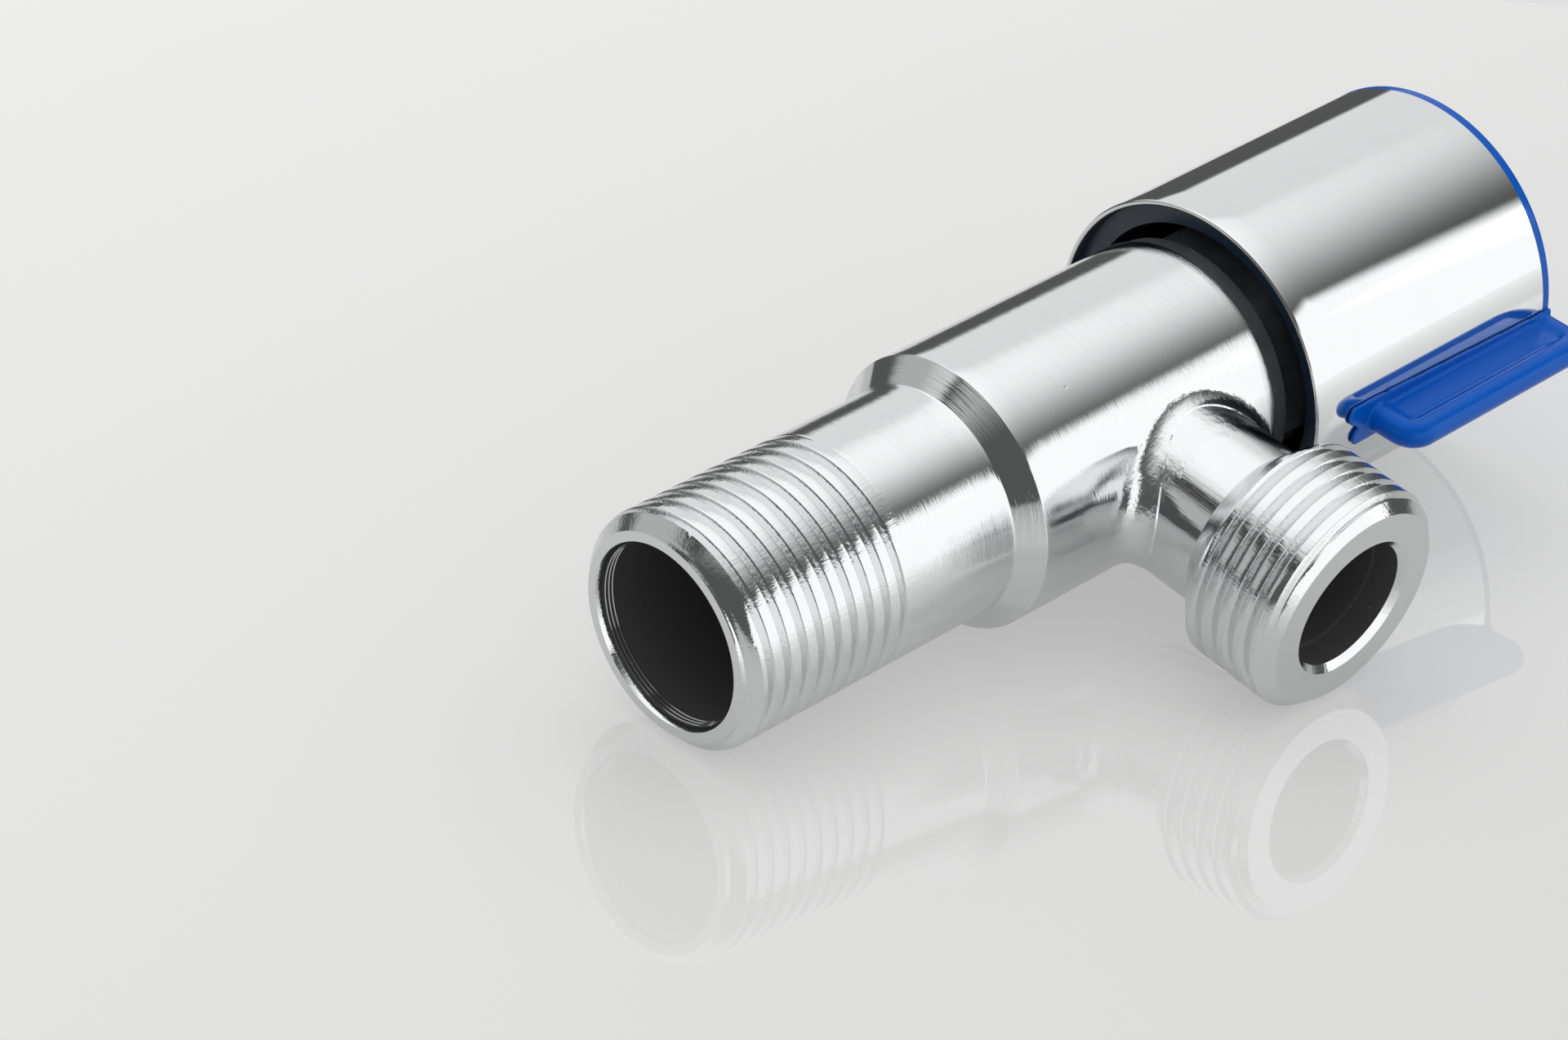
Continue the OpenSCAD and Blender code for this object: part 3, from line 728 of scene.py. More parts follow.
def outlet_thread(body, size):
    """The thread at the outlet, chamfered at both ends; X runs from the neck to the face"""
    def radius_at(place, depth):
        chamfer = THREAD_R - size.chamfer + size.outlet - place
        return min(THREAD_R - depth, body.collar_r + place, chamfer)
    return threaded_tube("outlet thread", size, size.outlet, size.outlet_steps, 0.0, radius_at)


# Body

# The window in the barrel that the neck grows from, and the one in the chamber for the port:
# half widths in steps round the body, and rows along it
WINDOW_START = 37.6 * MM
WINDOW_END = 58.7 * MM
WINDOW_HALF = 26
WINDOW_ROWS = 38
PORT_HALF = 40
PORT_ROWS = 10
# Free length round the port, and under the cage
PORT_ROOM = 0.4 * MM
CAGE_ROOM = 0.3 * MM
# Length of the cone that a drill leaves, as a share of the step in radius
DRILL_CONE = 0.6
# The inlet bore's wall starts as one long row up to this place
LONG_ROW = 12 * MM
# Inside the body, the chamber's walls start behind this place
CHAMBER_SIDE = 30 * MM


def port_start(size):
    """Where the port's window starts"""
    return OUTLET_X - size.port_r - PORT_ROOM


def main_profile(size, thread):
    """The body's section from the end of the inlet thread round to the inlet face"""
    x_plain = thread.inlet
    x_shoulder = x_plain + size.plain
    x_barrel = x_shoulder + size.shoulder
    slope = degrees(atan2(BARREL_R - size.plain_r, size.shoulder))
    half = radians(slope / 2)
    foot, edge = size.foot, size.edge
    points = [(x, size.plain_r) for x in evenly(x_plain, x_shoulder - foot * tan(half), 4)]
    points += arc((points[-1][0], size.plain_r + foot), foot, -90, -90 + slope, 4)[1:]
    crown_x = x_barrel + edge * tan(half)
    points += arc((crown_x, BARREL_R - edge), edge, 90 + slope, 90, 4)
    points += [(x, BARREL_R) for x in evenly(crown_x, WINDOW_START, 4)[1:-1]]
    points += [(x, BARREL_R) for x in evenly(WINDOW_START, WINDOW_END, WINDOW_ROWS)]
    x_seal = BODY_END - size.seal_depth
    points += [
        (BODY_END - size.rim, BARREL_R), (BODY_END, BARREL_R - size.rim), (BODY_END, size.seal_r),
        (x_seal, size.seal_r), (x_seal, size.screwed_r), (CAGE_HIGH.x, size.screwed_r),
    ]
    points += [(x, size.chamber_r) for x in evenly(CAGE_HIGH.x, port_start(size), PORT_ROWS)]
    x_seat = CAGE_LOW.x - CAGE_ROOM
    x_web = x_seat - size.seat_wall
    points += [
        (x_seat, size.chamber_r), (x_seat, size.seat_r), (x_web, size.seat_r),
        (x_web - (size.bore_r - size.seat_r) * DRILL_CONE, size.bore_r), (LONG_ROW, size.bore_r),
    ]
    foot_w, top_w = size.ring_gap * 0.3, size.ring_gap * 0.12
    top_r = size.bore_r - size.ring_rise
    for k in (3, 2, 1):
        place = size.mouth * 2 + size.ring_gap * k
        points += [(place + foot_w, size.bore_r), (place + top_w, top_r),
                   (place - top_w, top_r), (place - foot_w, size.bore_r)]
    points += [(size.mouth * 2, size.bore_r), (0.0, size.bore_r + size.mouth),
               (0.0, THREAD_R - thread.chamfer)]
    return points


def branch_profile(size, thread):
    """The outlet's inside, as (distance from the main axis, radius), from its face inwards"""
    face, bore_r = OUTLET_REACH, size.outlet_bore_r
    step_r = bore_r - size.outlet_step
    step = face - size.outlet_step_depth
    end = face - size.outlet_depth
    return [
        (face, THREAD_R - thread.chamfer), (face, bore_r + size.outlet_mouth),
        (face - size.outlet_mouth, bore_r), (step, bore_r), (step, step_r), (end, step_r),
        (end - (step_r - size.port_r) * DRILL_CONE, size.port_r),
    ]


# Turns a piece drawn along X so that it runs out along -Y from the outlet's place
OUTLET_TURN = Matrix.Translation((OUTLET_X, 0, 0)) @ Matrix(
    ((0, 1, 0, 0), (-1, 0, 0, 0), (0, 0, 1, 0), (0, 0, 0, 1)))


def round_outlet(vertices):
    """Vertices in order round the outlet's axis, from +X towards +Z"""
    def turn(vertex):
        return (atan2(vertex.co.z, vertex.co.x - OUTLET_X) + 1e-5) % TURN
    return sorted(vertices, key=turn)


def cut_window(piece, inside):
    """Deletes the faces whose centre passes a test"""
    bpy.ops.mesh.select_all(action="DESELECT")
    for face in bmesh.from_edit_mesh(piece.data).faces:
        if inside(face.calc_center_median()):
            face.select_set(True)
    bpy.ops.mesh.delete(type="FACE")


def select_rim(piece, test):
    """Selects an open rim and gives its places in order"""
    mesh = bmesh.from_edit_mesh(piece.data)
    bpy.ops.mesh.select_all(action="DESELECT")
    rim = round_outlet({v for e in mesh.edges if e.is_boundary for v in e.verts if test(v.co)})
    for vertex in rim:
        vertex.select = True
    mesh.select_flush(True)
    bmesh.update_edit_mesh(piece.data)
    return [v.co.copy() for v in rim]


def extrude_rim(piece, places):
    """Extrudes the selected rim once and moves its vertices, in order, to new places"""
    extrude(0, 0, 0)
    mesh = bmesh.from_edit_mesh(piece.data)
    for vertex, place in zip(round_outlet(v for v in mesh.verts if v.select), places):
        vertex.co = place
    bmesh.update_edit_mesh(piece.data)


def fillet_radius(size, angle):
    """Fillet of the neck's root, which changes round the neck"""
    along = cos(angle)
    end = size.fillet_back if along > 0 else size.fillet_front
    return size.fillet_side + (end - size.fillet_side) * along * along


def spread_rings(radius, rim, contacts, count):
    """Rings of places on a cylinder about X, from a window's rim to where the branch meets it"""
    for share in evenly(0, 1, count)[1:]:
        ring = []
        for place, contact in zip(rim, contacts):
            first, last = atan2(place.z, -place.y), atan2(contact.z, -contact.y)
            angle = first + (last - first) * share
            x = place.x + (contact.x - place.x) * share
            ring.append(Vector((x, -radius * cos(angle), radius * sin(angle))))
        yield ring


def neck_rings(size, thread, rim):
    """Rings of places from the window's rim over the fillet and along the neck to the collar"""
    angles = evenly(0, TURN, len(rim))[:-1]
    contacts, centres, tangents = [], [], []
    for a in angles:
        fillet = fillet_radius(size, a)
        x, z = OUTLET_X + (size.neck_r + fillet) * cos(a), (size.neck_r + fillet) * sin(a)
        y = -sqrt((BARREL_R + fillet) ** 2 - z * z)
        share = BARREL_R / (BARREL_R + fillet)
        centres.append(Vector((x, y, z)))
        contacts.append(Vector((x, y * share, z * share)))
        tangents.append(Vector((OUTLET_X + size.neck_r * cos(a), y, size.neck_r * sin(a))))
    yield from spread_rings(BARREL_R, rim, contacts, 6)
    for share in evenly(0, 1, 10)[1:]:
        ring = []
        for contact, centre, tangent in zip(contacts, centres, tangents):
            start, end = contact - centre, tangent - centre
            sweep = start.angle(end)
            out = start * sin(sweep * (1 - share)) + end * sin(sweep * share)
            ring.append(centre + out / sin(sweep))
        yield ring
    collar = OUTLET_REACH - thread.outlet
    neck_end = collar - (size.collar_r - size.neck_r)
    narrower = (size.neck_r - size.neck_step) / size.neck_r
    turned = [Vector((OUTLET_X + (t.x - OUTLET_X) * narrower, t.y - size.neck_step, t.z * narrower))
              for t in tangents]
    for share in evenly(0, 1, 10):
        yield [Vector((t.x, t.y + (-neck_end - t.y) * share, t.z)) for t in turned]
    yield [Vector((OUTLET_X + size.collar_r * cos(a), -collar, size.collar_r * sin(a)))
           for a in angles]


def port_rings(size, thread, rim):
    """Rings of places from the chamber's window to the port's edge, and out to the outlet bore"""
    edge = []
    for a in evenly(0, TURN, len(rim))[:-1]:
        z = size.port_r * sin(a)
        y = -sqrt(size.chamber_r ** 2 - z * z)
        edge.append(Vector((OUTLET_X + size.port_r * cos(a), y, z)))
    yield from spread_rings(size.chamber_r, rim, edge, 5)
    end = branch_profile(size, thread)[-1][0]
    yield [Vector((p.x, -end, p.z)) for p in edge]


def build_body(size, thread):
    """The whole body: spun main part, neck drawn out of the barrel, both threads, the branch"""
    inlet = inlet_thread(size, thread)
    outlet = outlet_thread(size, thread)
    outlet.data.transform(OUTLET_TURN @ Matrix.Translation((OUTLET_REACH - thread.outlet, 0, 0)))
    branch = spun("outlet bore", branch_profile(size, thread), thread.outlet_steps)
    branch.data.transform(OUTLET_TURN)
    body = spun("chromed_body", main_profile(size, thread), thread.inlet_steps)
    bpy.ops.object.mode_set(mode="EDIT")
    windows = [
        (WINDOW_START, WINDOW_END, WINDOW_HALF, BARREL_R, neck_rings),
        (port_start(size), CAGE_HIGH.x, PORT_HALF, size.chamber_r, port_rings),
    ]
    for low, high, half, radius, rings in windows:
        widest = (half + 0.01) * TURN / thread.inlet_steps

        def on_wall(place):
            return abs(hypot(place.y, place.z) - radius) < ON_WALL

        def inside(place):
            return low < place.x < high and on_wall(place) and abs(atan2(place.z, -place.y)) < widest

        cut_window(body, inside)
        rim = select_rim(body, on_wall)
        for ring in rings(size, thread, rim):
            extrude_rim(body, ring)
    bpy.ops.object.mode_set(mode="OBJECT")
    joined(body, inlet, outlet, branch)
    bpy.ops.object.mode_set(mode="EDIT")
    close_seam()
    bpy.ops.object.mode_set(mode="OBJECT")
    finish_piece(body, 28)
    return body


def dress_body(body, size, thread):
    """Gives each part of the body its own finish"""
    finishes = [
        chrome_finish("Chrome on the inlet thread", 0.045, chatter=0.026, turning=0.003),
        chrome_finish("Turned chrome", 0.06, turning=0.028, waves=0.002),
        chrome_finish("Polished chrome", 0.07, waves=0.012, turning=0.016, pits=0.02),
        chrome_finish("Chrome on the cast root", 0.13, waves=0.14, skin=0.09),
        chrome_finish("Chrome on the outlet thread", 0.045, outlet=True, chatter=0.026,
                      turning=0.003),
        bore_shade_finish(),
        chrome_finish("Rings in the mouth", 0.12, share=0.75, turning=0.001),
    ]
    for finish in finishes:
        body.data.materials.append(finish)
    # The bores, the outlet's bore and the chamber take the dark bore finish, which is painted shade;
    # only the rings' faces that look out of the inlet's mouth are chrome
    rolled, turned, polished, cast, outlet_rolled, dark, rings = range(len(finishes))
    collar = OUTLET_REACH - thread.outlet
    x_barrel = thread.inlet + size.plain + size.shoulder
    slack = 0.05 * MM
    for face in body.data.polygons:
        x, y, z = face.center
        radius = hypot(y, z)
        outlet_r = hypot(x - OUTLET_X, z)
        in_branch = -y > BARREL_R * 0.6 and outlet_r < THREAD_R + MM
        if in_branch and -y > collar and outlet_r > size.outlet_bore_r:
            face.material_index = outlet_rolled
        elif in_branch and outlet_r < size.outlet_bore_r + slack:
            face.material_index = dark
        elif in_branch and radius > BARREL_R + 0.01 * MM:
            face.material_index = cast if -y < BARREL_R + size.fillet_side else turned
        elif radius < size.bore_r + slack or (x > CHAMBER_SIDE and radius < size.seal_r):
            in_mouth = x < size.mouth * 2 + size.ring_gap * 4
            face.material_index = rings if in_mouth and face.normal.x < -0.2 else dark
        elif x < thread.inlet:
            face.material_index = rolled
        else:
            face.material_index = turned if x < x_barrel else polished


class VALVE_OT_body(bpy.types.Operator):
    """Models the threaded body with its outlet neck and gives it its finishes"""

    bl_idname = "valve.body"
    bl_label = "Chromed Body"

    def execute(self, context):
        size, thread = context.scene.valve_body, context.scene.valve_thread
        body = build_body(size, thread)
        dress_body(body, size, thread)
        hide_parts("valve_body")
        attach(body, "valve")
        return {"FINISHED"}


# Handle

class VALVE_OT_sleeve(bpy.types.Operator):
    """Models the chromed sleeve with its rounded lip"""

    bl_idname = "valve.sleeve"
    bl_label = "Chromed Sleeve"

    def execute(self, context):
        wall = context.scene.valve_handle.wall
        outer = SLEEVE_HIGH.z
        inner = outer - wall
        lip = wall / 2
        front, back = SLEEVE_LOW.x, SLEEVE_HIGH.x
        points = arc((front + lip, inner + lip), lip, 90, 270, 12)
        points += [(x, inner) for x in evenly(front + lip, back, 8)[1:]]
        points += [(x, outer) for x in evenly(back, front + lip, 12)]
        sleeve = spun("polished_sleeve", points, context.scene.valve_thread.inlet_steps)
        finish_piece(sleeve, 35)
        sleeve.data.materials.append(
            chrome_finish("Chrome on the sleeve", 0.04, waves=0.006, turning=0.0005))
        # The sleeve's inside faces get dark plastic instead of chrome: painted shade
        sleeve.data.materials.append(
            plastic_finish("Sleeve inside in painted shade", context.scene.valve_finish.inner_wall_shade, 0.35, 0.01))
        for face in sleeve.data.polygons:
            if hypot(face.center.y, face.center.z) < inner + 0.05 * MM:
                face.material_index = 1
        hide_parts("chrome_sleeve")
        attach(sleeve, "handle")
        return {"FINISHED"}


def fill_edges(piece, test):
    """Closes the open edges whose places pass a test with one face"""
    bpy.ops.mesh.select_all(action="DESELECT")
    for edge in bmesh.from_edit_mesh(piece.data).edges:
        if edge.is_boundary and all(test(v.co) for v in edge.verts):
            edge.select_set(True)
    bpy.ops.mesh.edge_face_add()


def beaded_fin(size, front, back, root_r):
    """The wing: a web inside a round bead that runs along its three free edges"""
    bead_r, half_web, corner = size.wing_t / 2, size.web_t / 2, size.wing_corner
    rise = half_web + size.hollow
    reach = sqrt((bead_r + size.hollow) ** 2 - rise ** 2)
    meet = degrees(atan2(rise, reach))
    half = arc((bead_r, 0), bead_r, 180, meet, 12)
    half += arc((bead_r + reach, rise), size.hollow, meet - 180, -90, 6)[1:]
    section = [(inset, height) for inset, height in reversed(half)]
    section += [(inset, -height) for inset, height in half[1:]]
    fin = new_profile("fin", [(front + inset, -root_r) for inset, height in section])
    for vertex, (inset, height) in zip(bmesh.from_edit_mesh(fin.data).verts, section):
        vertex.co = (front + inset, -root_r, height)
    bmesh.update_edit_mesh(fin.data)
    bpy.ops.mesh.select_all(action="SELECT")

    def bend(x):
        bpy.ops.mesh.spin(steps=14, angle=TURN / 4, axis=(0, 0, -1),
                          center=(x, -size.wing_r + corner, 0))

    straight = size.wing_r - corner - root_r
    extrude(0, -straight, 0)
    bend(front + corner)
    extrude(back - front - 2 * corner, 0, 0)
    bend(back - corner)
    extrude(0, straight, 0)
    for face_z in (half_web, -half_web):
        fill_edges(fin, lambda place: abs(place.z - face_z) < CLOSE and abs(place.y) > root_r - CLOSE)
    fill_edges(fin, lambda place: True)
    face_outwards()
    bpy.ops.object.mode_set(mode="OBJECT")
    return fin


# The strip is cut from a block of this height that starts this far above the sleeve
STRIP_BLOCK = 6 * MM
STRIP_START = 4 * MM
STRIP_STEPS = 360


def saddle_strip(size, front, back, inner_r):
    """The strip that hugs the sleeve: two lobes and a notch in front, narrower at the cap"""
    lobe_x, lobe_z = front + size.lobe_r, size.strip_w / 2 - size.lobe_r
    outline = [(back, size.tail_w / 2)]
    outline += arc((lobe_x, lobe_z), size.lobe_r, 90, 262, 16)
    outline += arc((lobe_x + size.lobe_back, -lobe_z), size.lobe_r, 112, 270, 16)
    outline += [(back, -size.tail_w / 2)]
    strip = new_profile("strip", [*outline, outline[0]])
    close_seam()
    bpy.ops.mesh.select_all(action="SELECT")
    bpy.ops.mesh.edge_face_add()
    extrude(0, 0, STRIP_BLOCK)
    face_outwards()
    bpy.ops.object.mode_set(mode="OBJECT")
    strip.data.transform(Matrix(
        ((1, 0, 0, 0), (0, 0, 1, -inner_r - STRIP_START), (0, 1, 0, 0), (0, 0, 0, 1))))
    strip.data.flip_normals()
    low, high, outer_r = front - MM, back + MM, inner_r + size.strip_t
    wall = [(low, inner_r), (high, inner_r), (high, outer_r), (low, outer_r)]
    combine(strip, spun("strip wall", wall, STRIP_STEPS, closed=True), "INTERSECT")
    return strip


def soften(piece, voxel, rounds):
    """Rounds every edge a little, as a mould does"""
    remesh = piece.modifiers.new("grain", "REMESH")
    remesh.mode = "VOXEL"
    remesh.voxel_size = voxel
    remesh.adaptivity = 0.0
    ease = piece.modifiers.new("ease", "SMOOTH")
    ease.factor = 0.5
    ease.iterations = rounds
    bpy.context.view_layer.objects.active = piece
    for modifier in (remesh, ease):
        bpy.ops.object.modifier_apply(modifier=modifier.name)


def grip_wing(size):
    """The wing with its strip and the hook into the cap, as one moulding"""
    clear = 0.1 * MM
    front = SLEEVE_LOW.x + size.wing_front
    back = CAP_HIGH.x - clear
    inner_r = SLEEVE_HIGH.z + size.gap
    root_r = inner_r + size.strip_t / 2
    fin = beaded_fin(size, front, back, root_r)
    strip = saddle_strip(size, front - size.strip_lead, back, inner_r)
    bpy.ops.object.select_all(action="DESELECT")
    bpy.ops.mesh.primitive_cube_add(size=MM)
    hook = bpy.context.object
    hook_low = (SLEEVE_HIGH.x + clear, -root_r, -size.tail_w / 2)
    hook_high = (back, -SLEEVE_HIGH.z + 2 * MM, size.tail_w / 2)
    for vertex in hook.data.vertices:
        vertex.co = [high if c > 0 else low for c, low, high in zip(vertex.co, hook_low, hook_high)]
    wing = joined(fin, strip, hook)
    soften(wing, size.voxel, rounds=8)
    wing.data.transform(Matrix.Rotation(-size.wing_turn, 4, "X"))
    return wing


def cap_profile(size):
    """Section of the end cap, as (place, radius), with its ring and the plug's pocket"""
    face, seat, edge, outer = CAP_HIGH.x, SLEEVE_HIGH.x, size.cap_edge, SLEEVE_HIGH.z
    pocket, pocket_r = COVER_LOW.x, COVER_HIGH.z + size.gap
    ring_end, ring_r = seat - size.ring_h, size.ring_r
    points = [(face, r) for r in evenly(pocket_r + size.gap, outer - edge, 4)[:-1]]
    points += arc((face - edge, outer - edge), edge, 0, 90, 6)
    points += [
        (seat, outer), (seat, ring_r), (ring_end, ring_r),
        (ring_end, ring_r - size.ring_w), (seat, ring_r - size.ring_w),
        (seat, pocket_r + size.ring_w), (pocket - size.ledge, pocket_r + size.ring_w),
        (pocket - size.ledge, pocket_r - size.ledge), (pocket, pocket_r - size.ledge),
        (pocket, pocket_r), (face - size.gap, pocket_r),
    ]
    return points


def cover_profile(size):
    """Section of the plug over the screw, slightly domed"""
    face, edge, radius = COVER_HIGH.x, size.cap_edge, COVER_HIGH.z
    points = [(COVER_LOW.x, 0.0), (COVER_LOW.x, radius)]
    points += arc((face - edge, radius - edge), edge, 90, 20, 5)
    points += [(face - 0.02 * MM, radius * share) for share in (0.7, 0.35)]
    return [*points, (face, 0.0)]


class VALVE_OT_cap(bpy.types.Operator):
    """Models the blue end cap with its grip wing, and the plug over the screw"""

    bl_idname = "valve.cap"
    bl_label = "End Cap and Wing"

    def execute(self, context):
        size = context.scene.valve_handle
        steps = context.scene.valve_thread.inlet_steps
        blue = plastic_finish("Blue plastic", context.scene.valve_finish.blue, 0.22, 0.002,
                              tint=(0.25, 0.6, 1.0))
        cap = spun("moulded_cap", cap_profile(size), steps, closed=True)
        combine(cap, grip_wing(size), "UNION")
        cover = spun("domed_cover", cover_profile(size), steps)
        for piece in (cap, cover):
            finish_piece(piece, 30)
            piece.data.materials.clear()
            piece.data.materials.append(blue)
            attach(piece, "handle")
        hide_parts("handle_cap")
        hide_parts("screw_cover")
        return {"FINISHED"}


def dress(finish, *names):
    """Gives CAD pieces a finish"""
    for name in names:
        for slot in frame["nodes"][name].material_slots:
            slot.material = finish


class VALVE_OT_finishes(bpy.types.Operator):
    """Gives the cartridge and the handle's inside their finishes"""

    bl_idname = "valve.finishes"
    bl_label = "Cartridge Finishes"

    def execute(self, context):
        colours = context.scene.valve_finish
        dress(brass_finish(), "disc_cage", "spindle", "spline_bush")
        dress(plated_shade_finish(), "bonnet")
        dress(ceramic_finish(), "fixed_disc", "moving_disc")
        dress(rubber_finish(), "bonnet_o_ring", "seat_seal", "lower_spindle_o_ring",
              "upper_spindle_o_ring")
        dress(steel_finish(), "clip_washer", "retaining_clip", "handle_screw", "screw_washer")
        dress(plastic_finish("Slide plastic", colours.slide, 0.35, 0.01), "thrust_washer",
              "seat_ring")
        # The core's plastic is dark with painted shade
        dress(plastic_finish("Core plastic in painted shade", colours.navy_shade, 0.3, 0.012), "handle_core")
        return {"FINISHED"}


# Stage

# Width of the camera's sensor in millimetres
SENSOR = 36.0
# The table's edges, from the point under the sleeve's mouth
TABLE_FAR = 118 * MM
TABLE_NEAR = -420 * MM
TABLE_SIDE = 420 * MM
# The table's painted light: its glow at the origin, its change in a metre along X and Y, and its loss in
# a mirror, which is painted shade in reflections
GLOW = 0.49
GLOW_ALONG_X = -0.26
GLOW_ALONG_Y = 0.66
MIRROR_SHADE = -0.29
# Direction of the tent's brightest place, as azimuth and elevation in degrees
TENT_TOP = (70, 63)
# Soft boxes: middle and half size as (azimuth, elevation) in degrees, soft edge, brightness
PANELS = (
    ((-80, -10), (46, 48), 2.6, 1.2),
    ((-36, 21), (4, 6), 2.0, 2.1),
    ((52, 20), (24, 17), 2.0, 0.85),
    ((128, 16), (29, 14), 3.0, 0.5),
    ((148, 40), (14, 6), 4.0, 0.06),
)
LAMP_PLACE = Vector((0.15, 0.2, 0.55))
LAMP_WIDTH = 0.5
ROOM_COLOUR = (0.745, 0.75, 0.75, 1.0)


def rest_plane():
    """The plane that touches the inlet's rim, the sleeve's mouth and the outlet's rim"""
    thread = bpy.context.scene.valve_thread
    circles = [
        (Vector((thread.chamfer, 0, 0)), Vector((1, 0, 0)), THREAD_R),
        (Vector((SLEEVE_LOW.x, 0, 0)), Vector((1, 0, 0)), SLEEVE_HIGH.z),
        (Vector((OUTLET_X, thread.chamfer - OUTLET_REACH, 0)), Vector((0, 1, 0)), THREAD_R),
    ]
    normal = Vector((0, 0, 1))
    settling = 40
    for turn in range(settling):
        touches = []
        for centre, axis, radius in circles:
            down = (normal - axis * normal.dot(axis)).normalized()
            touches.append(centre - down * radius)
        first, second, third = touches
        normal = (second - first).cross(third - first).normalized()
        if normal.z < 0:
            normal = -normal
    return normal, touches[0]


def direction(azimuth, elevation):
    """Unit vector at an azimuth from X and an elevation"""
    flat = cos(elevation)
    return Vector((flat * cos(azimuth), flat * sin(azimuth), sin(elevation)))


def view_axes(studio):
    """Right, up and forward of the camera"""
    forward = direction(studio.azimuth, studio.elevation)
    level = forward.cross(Vector((0, 0, 1))).normalized()
    up = level.cross(forward) * cos(studio.roll) + level * sin(studio.roll)
    return forward.cross(up), up, forward


def add_camera(studio):
    """The camera at the photograph's viewing angle"""
    right, up, forward = view_axes(studio)
    camera = bpy.data.objects.new("camera", bpy.data.cameras.new("camera"))
    bpy.context.scene.collection.objects.link(camera)
    camera.data.lens = studio.lens
    camera.data.sensor_fit = "HORIZONTAL"
    camera.data.sensor_width = SENSOR
    camera.data.clip_start = 10 * MM
    turned = Matrix((right, up, -forward)).transposed().to_4x4()
    camera.matrix_world = Matrix.Translation(studio.place) @ turned
    bpy.context.scene.camera = camera


def floor_finish():
    """Pale, slightly glossy table, seen only from above; it glows with painted light and is dimmer in
    reflections, which is painted shade
    """
    colour = bpy.context.scene.valve_finish.floor

    def build(tree, shader, point):
        # Half the colour is lit; the other half glows as painted light, which keeps the valve's shadow
        # faint
        set_finish(shader, darker(colour, 0.5), 0.0, 0.02, IOR=1.55)
        shader.inputs["Emission Color"].default_value = (*colour, 1.0)
        x, y, z = node(tree, "ShaderNodeSeparateXYZ", {0: point}).outputs
        # The glow is brighter towards +Y and towards -X: a painted fall of light
        glow = maths(tree, "MULTIPLY_ADD", y, GLOW_ALONG_Y, GLOW)
        glow = maths(tree, "MULTIPLY_ADD", x, GLOW_ALONG_X, glow, clamp=True)
        # Seen in a mirror the glow is dimmer: painted shade in the chrome's reflections of the table
        mirrored = tree.nodes.new("ShaderNodeLightPath").outputs["Is Glossy Ray"]
        left = maths(tree, "MULTIPLY_ADD", mirrored, MIRROR_SHADE, 1.0)
        tree.links.new(maths(tree, "MULTIPLY", glow, left), shader.inputs["Emission Strength"])
        cloud = noise(tree, point, scale=6.0)
        tree.links.new(tone(tree, cloud, darker(colour, 0.495), darker(colour, 0.505)),
                       shader.inputs["Base Color"])
        clear = tree.nodes.new("ShaderNodeBsdfTransparent").outputs[0]
        back = tree.nodes.new("ShaderNodeNewGeometry").outputs["Backfacing"]
        seen = node(tree, "ShaderNodeMixShader", {0: back, 1: shader.outputs[0], 2: clear})
        tree.links.new(seen.outputs[0], tree.nodes["Material Output"].inputs["Surface"])
    return material("Pale table with painted light", build)


def add_floor(studio):
    """The table that the valve rests on; its far edge lies just outside the view"""
    normal, touch = rest_plane()
    right, up, forward = view_axes(studio)
    away = (forward - normal * forward.dot(normal)).normalized()
    aside = away.cross(normal)
    middle = Vector((SLEEVE_LOW.x, 0, 0))
    middle -= normal * (middle - touch).dot(normal)
    bpy.ops.object.select_all(action="DESELECT")
    bpy.ops.mesh.primitive_plane_add(size=2.0)
    floor = bpy.context.object
    floor.name = "table"
    corners = [(-1, TABLE_NEAR), (1, TABLE_NEAR), (-1, TABLE_FAR), (1, TABLE_FAR)]
    for vertex, (side, depth) in zip(floor.data.vertices, corners):
        vertex.co = middle + aside * side * TABLE_SIDE + away * depth
    if floor.data.polygons[0].normal.dot(normal) < 0:
        floor.data.flip_normals()
    floor.data.materials.append(floor_finish())


def soft_panel(tree, angles, middle, half, soft):
    """Mask of a soft box; each size is an azimuth and an elevation in degrees"""
    masks = []
    for angle, centre, reach in zip(angles, middle, half):
        away = maths(tree, "WRAP", maths(tree, "SUBTRACT", angle, centre), 180.0, -180.0)
        masks.append(ramp(tree, maths(tree, "ABSOLUTE", away), reach - soft, reach + soft, 1.0, 0.0))
    return maths(tree, "MULTIPLY", *masks)


def tent_finish(centre):
    """Light of the tent: soft boxes and dark gaps, by the direction from the valve"""
    made = bpy.data.materials.new("Light tent")
    made.use_nodes = True
    tree = made.node_tree
    tree.nodes.clear()
    point = tree.nodes.new("ShaderNodeTexCoord").outputs["Object"]
    ray = vector_maths(tree, "NORMALIZE", vector_maths(tree, "SUBTRACT", point, centre)[0])[0]
    x, y, z = node(tree, "ShaderNodeSeparateXYZ", {0: ray}).outputs
    azimuth = maths(tree, "DEGREES", maths(tree, "ARCTAN2", y, x))
    elevation = maths(tree, "DEGREES", maths(tree, "ARCSINE", z))
    top = direction(*[radians(angle) for angle in TENT_TOP])
    near_top = vector_maths(tree, "DOT_PRODUCT", ray, top)["Value"]
    from_top = maths(tree, "DEGREES", maths(tree, "ARCCOSINE", near_top))
    light = ramp(tree, from_top, low=20.0, high=68.0, start=1.18, end=0.10)
    for middle, half, soft, value in PANELS:
        light = mix(tree, soft_panel(tree, (azimuth, elevation), middle, half, soft), light, value)
    mirrored = tree.nodes.new("ShaderNodeLightPath").outputs["Is Glossy Ray"]
    both = mix(tree, mirrored, bpy.context.scene.valve_studio.dome, light)
    glow = node(tree, "ShaderNodeEmission", {"Color": (1.0, 1.0, 1.0, 1.0), "Strength": both})
    node(tree, "ShaderNodeOutputMaterial", {"Surface": glow.outputs[0]})
    return made


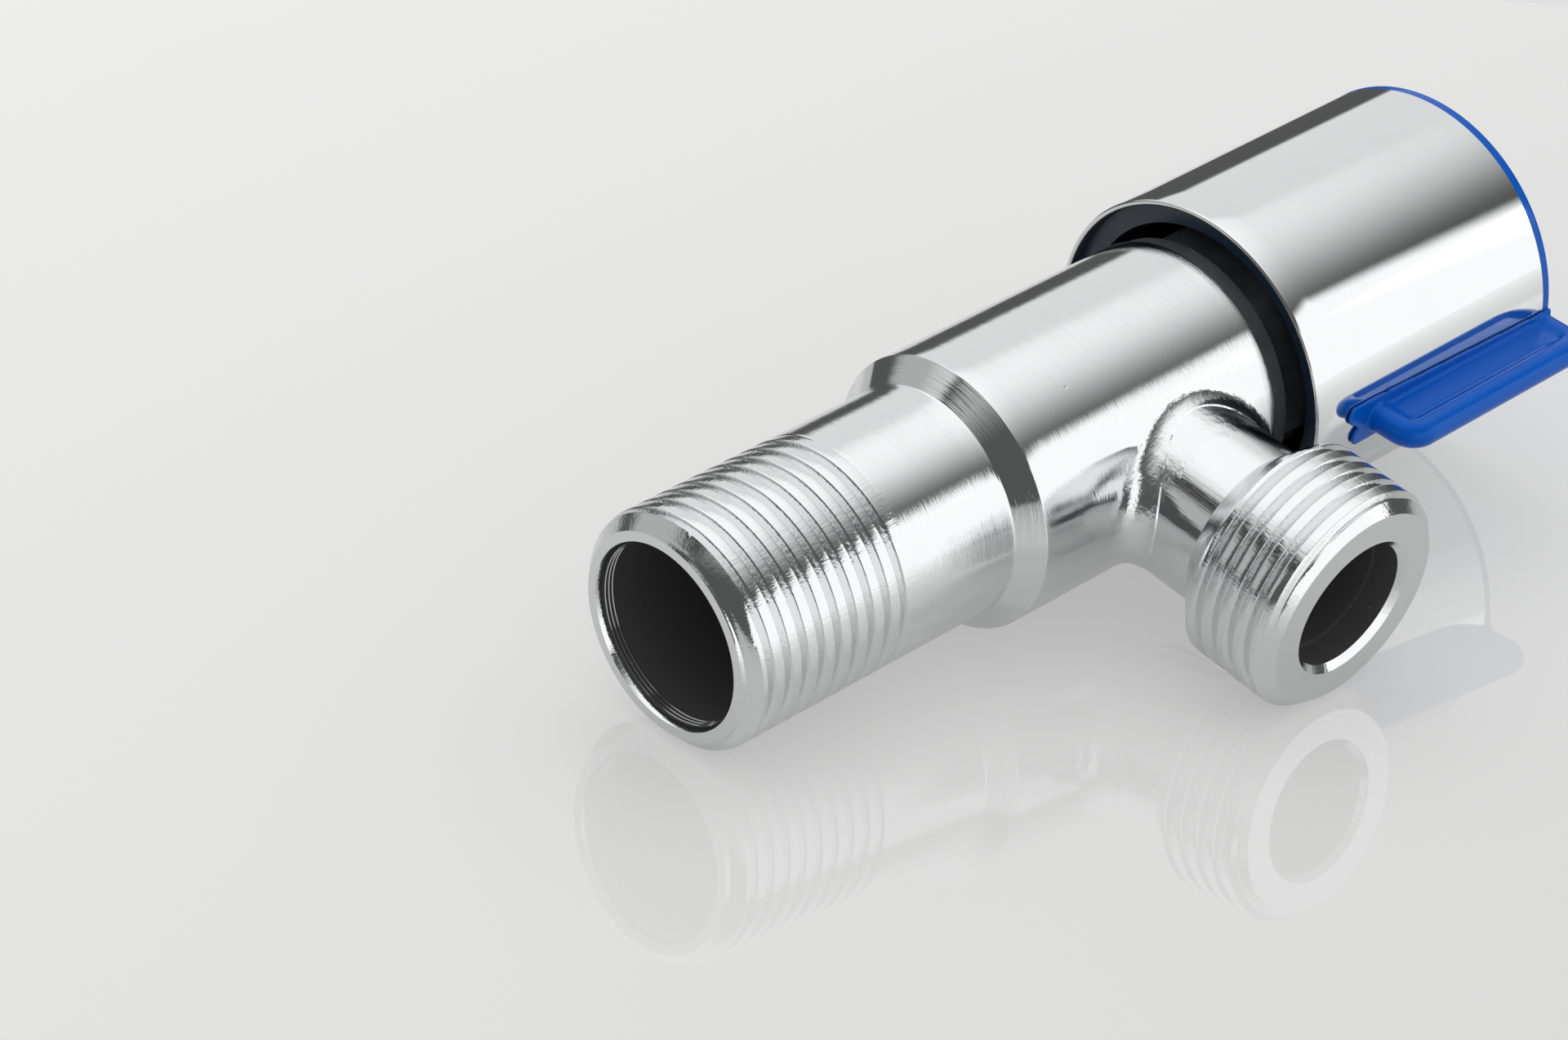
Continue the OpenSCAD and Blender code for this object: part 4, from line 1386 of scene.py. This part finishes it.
def add_tent(studio):
    """A light tent round the valve, which the camera looks through"""
    centre = Vector((SLEEVE_LOW.x * 0.75, 0, 0))
    bpy.ops.object.select_all(action="DESELECT")
    bpy.ops.mesh.primitive_uv_sphere_add(segments=64, ring_count=32, radius=studio.tent_r)
    tent = bpy.context.object
    tent.name = "light tent"
    tent.data.transform(Matrix.Translation(centre))
    tent.data.flip_normals()
    tent.visible_camera = False
    tent.visible_shadow = False
    tent.data.materials.append(tent_finish(centre))


def add_lamp(studio):
    """A soft lamp above, for the floor and the shadow"""
    lamp = bpy.data.objects.new("top lamp", bpy.data.lights.new("top lamp", "AREA"))
    bpy.context.scene.collection.objects.link(lamp)
    lamp.data.shape = "DISK"
    lamp.data.size = LAMP_WIDTH
    lamp.data.energy = studio.lamp
    turned = LAMP_PLACE.to_track_quat("Z", "Y").to_matrix().to_4x4()
    lamp.matrix_world = Matrix.Translation(LAMP_PLACE) @ turned
    lamp.visible_glossy = False


def set_world():
    """A pale background for whatever looks past the tent"""
    world = bpy.data.worlds.new("pale room")
    bpy.context.scene.world = world
    world.use_nodes = True
    tree = world.node_tree
    back = tree.nodes["Background"]
    back.inputs["Color"].default_value = ROOM_COLOUR
    path = tree.nodes.new("ShaderNodeLightPath").outputs
    seen = maths(tree, "MAXIMUM", path["Is Camera Ray"],
                 maths(tree, "MAXIMUM", path["Is Glossy Ray"], path["Is Transmission Ray"]))
    tree.links.new(seen, back.inputs["Strength"])


class VALVE_OT_stage(bpy.types.Operator):
    """Sets up the camera, the pale table and the soft light"""

    bl_idname = "valve.stage"
    bl_label = "Camera, Table and Light"

    def execute(self, context):
        studio = context.scene.valve_studio
        add_camera(studio)
        add_floor(studio)
        add_tent(studio)
        add_lamp(studio)
        set_world()
        context.scene.view_settings.view_transform = "Standard"
        return {"FINISHED"}


OPERATORS = (VALVE_OT_body, VALVE_OT_sleeve, VALVE_OT_cap, VALVE_OT_finishes, VALVE_OT_stage)


class VALVE_PT_panel(bpy.types.Panel):
    """Lists the valve's sizes and the steps that build it"""

    bl_idname = "VALVE_PT_panel"
    bl_label = "Angle Valve"
    bl_space_type = "VIEW_3D"
    bl_region_type = "UI"
    bl_category = "Angle Valve"

    def draw(self, context):
        for name in SETTINGS:
            box = self.layout.box()
            settings = getattr(context.scene, name)
            for key in settings.__annotations__:
                box.prop(settings, key)
        for operator in OPERATORS:
            self.layout.operator(operator.bl_idname)


def register():
    for cls in (*SETTINGS.values(), *OPERATORS, VALVE_PT_panel):
        bpy.utils.register_class(cls)
    for name, cls in SETTINGS.items():
        setattr(bpy.types.Scene, name, PointerProperty(type=cls))


def unregister():
    for name in SETTINGS:
        delattr(bpy.types.Scene, name)
    for cls in (VALVE_PT_panel, *reversed(OPERATORS), *reversed(SETTINGS.values())):
        bpy.utils.unregister_class(cls)


def main():
    register()
    bpy.ops.valve.stage()
    bpy.ops.valve.body()
    bpy.ops.valve.sleeve()
    bpy.ops.valve.cap()
    bpy.ops.valve.finishes()


if __name__ == "__main__":
    main()
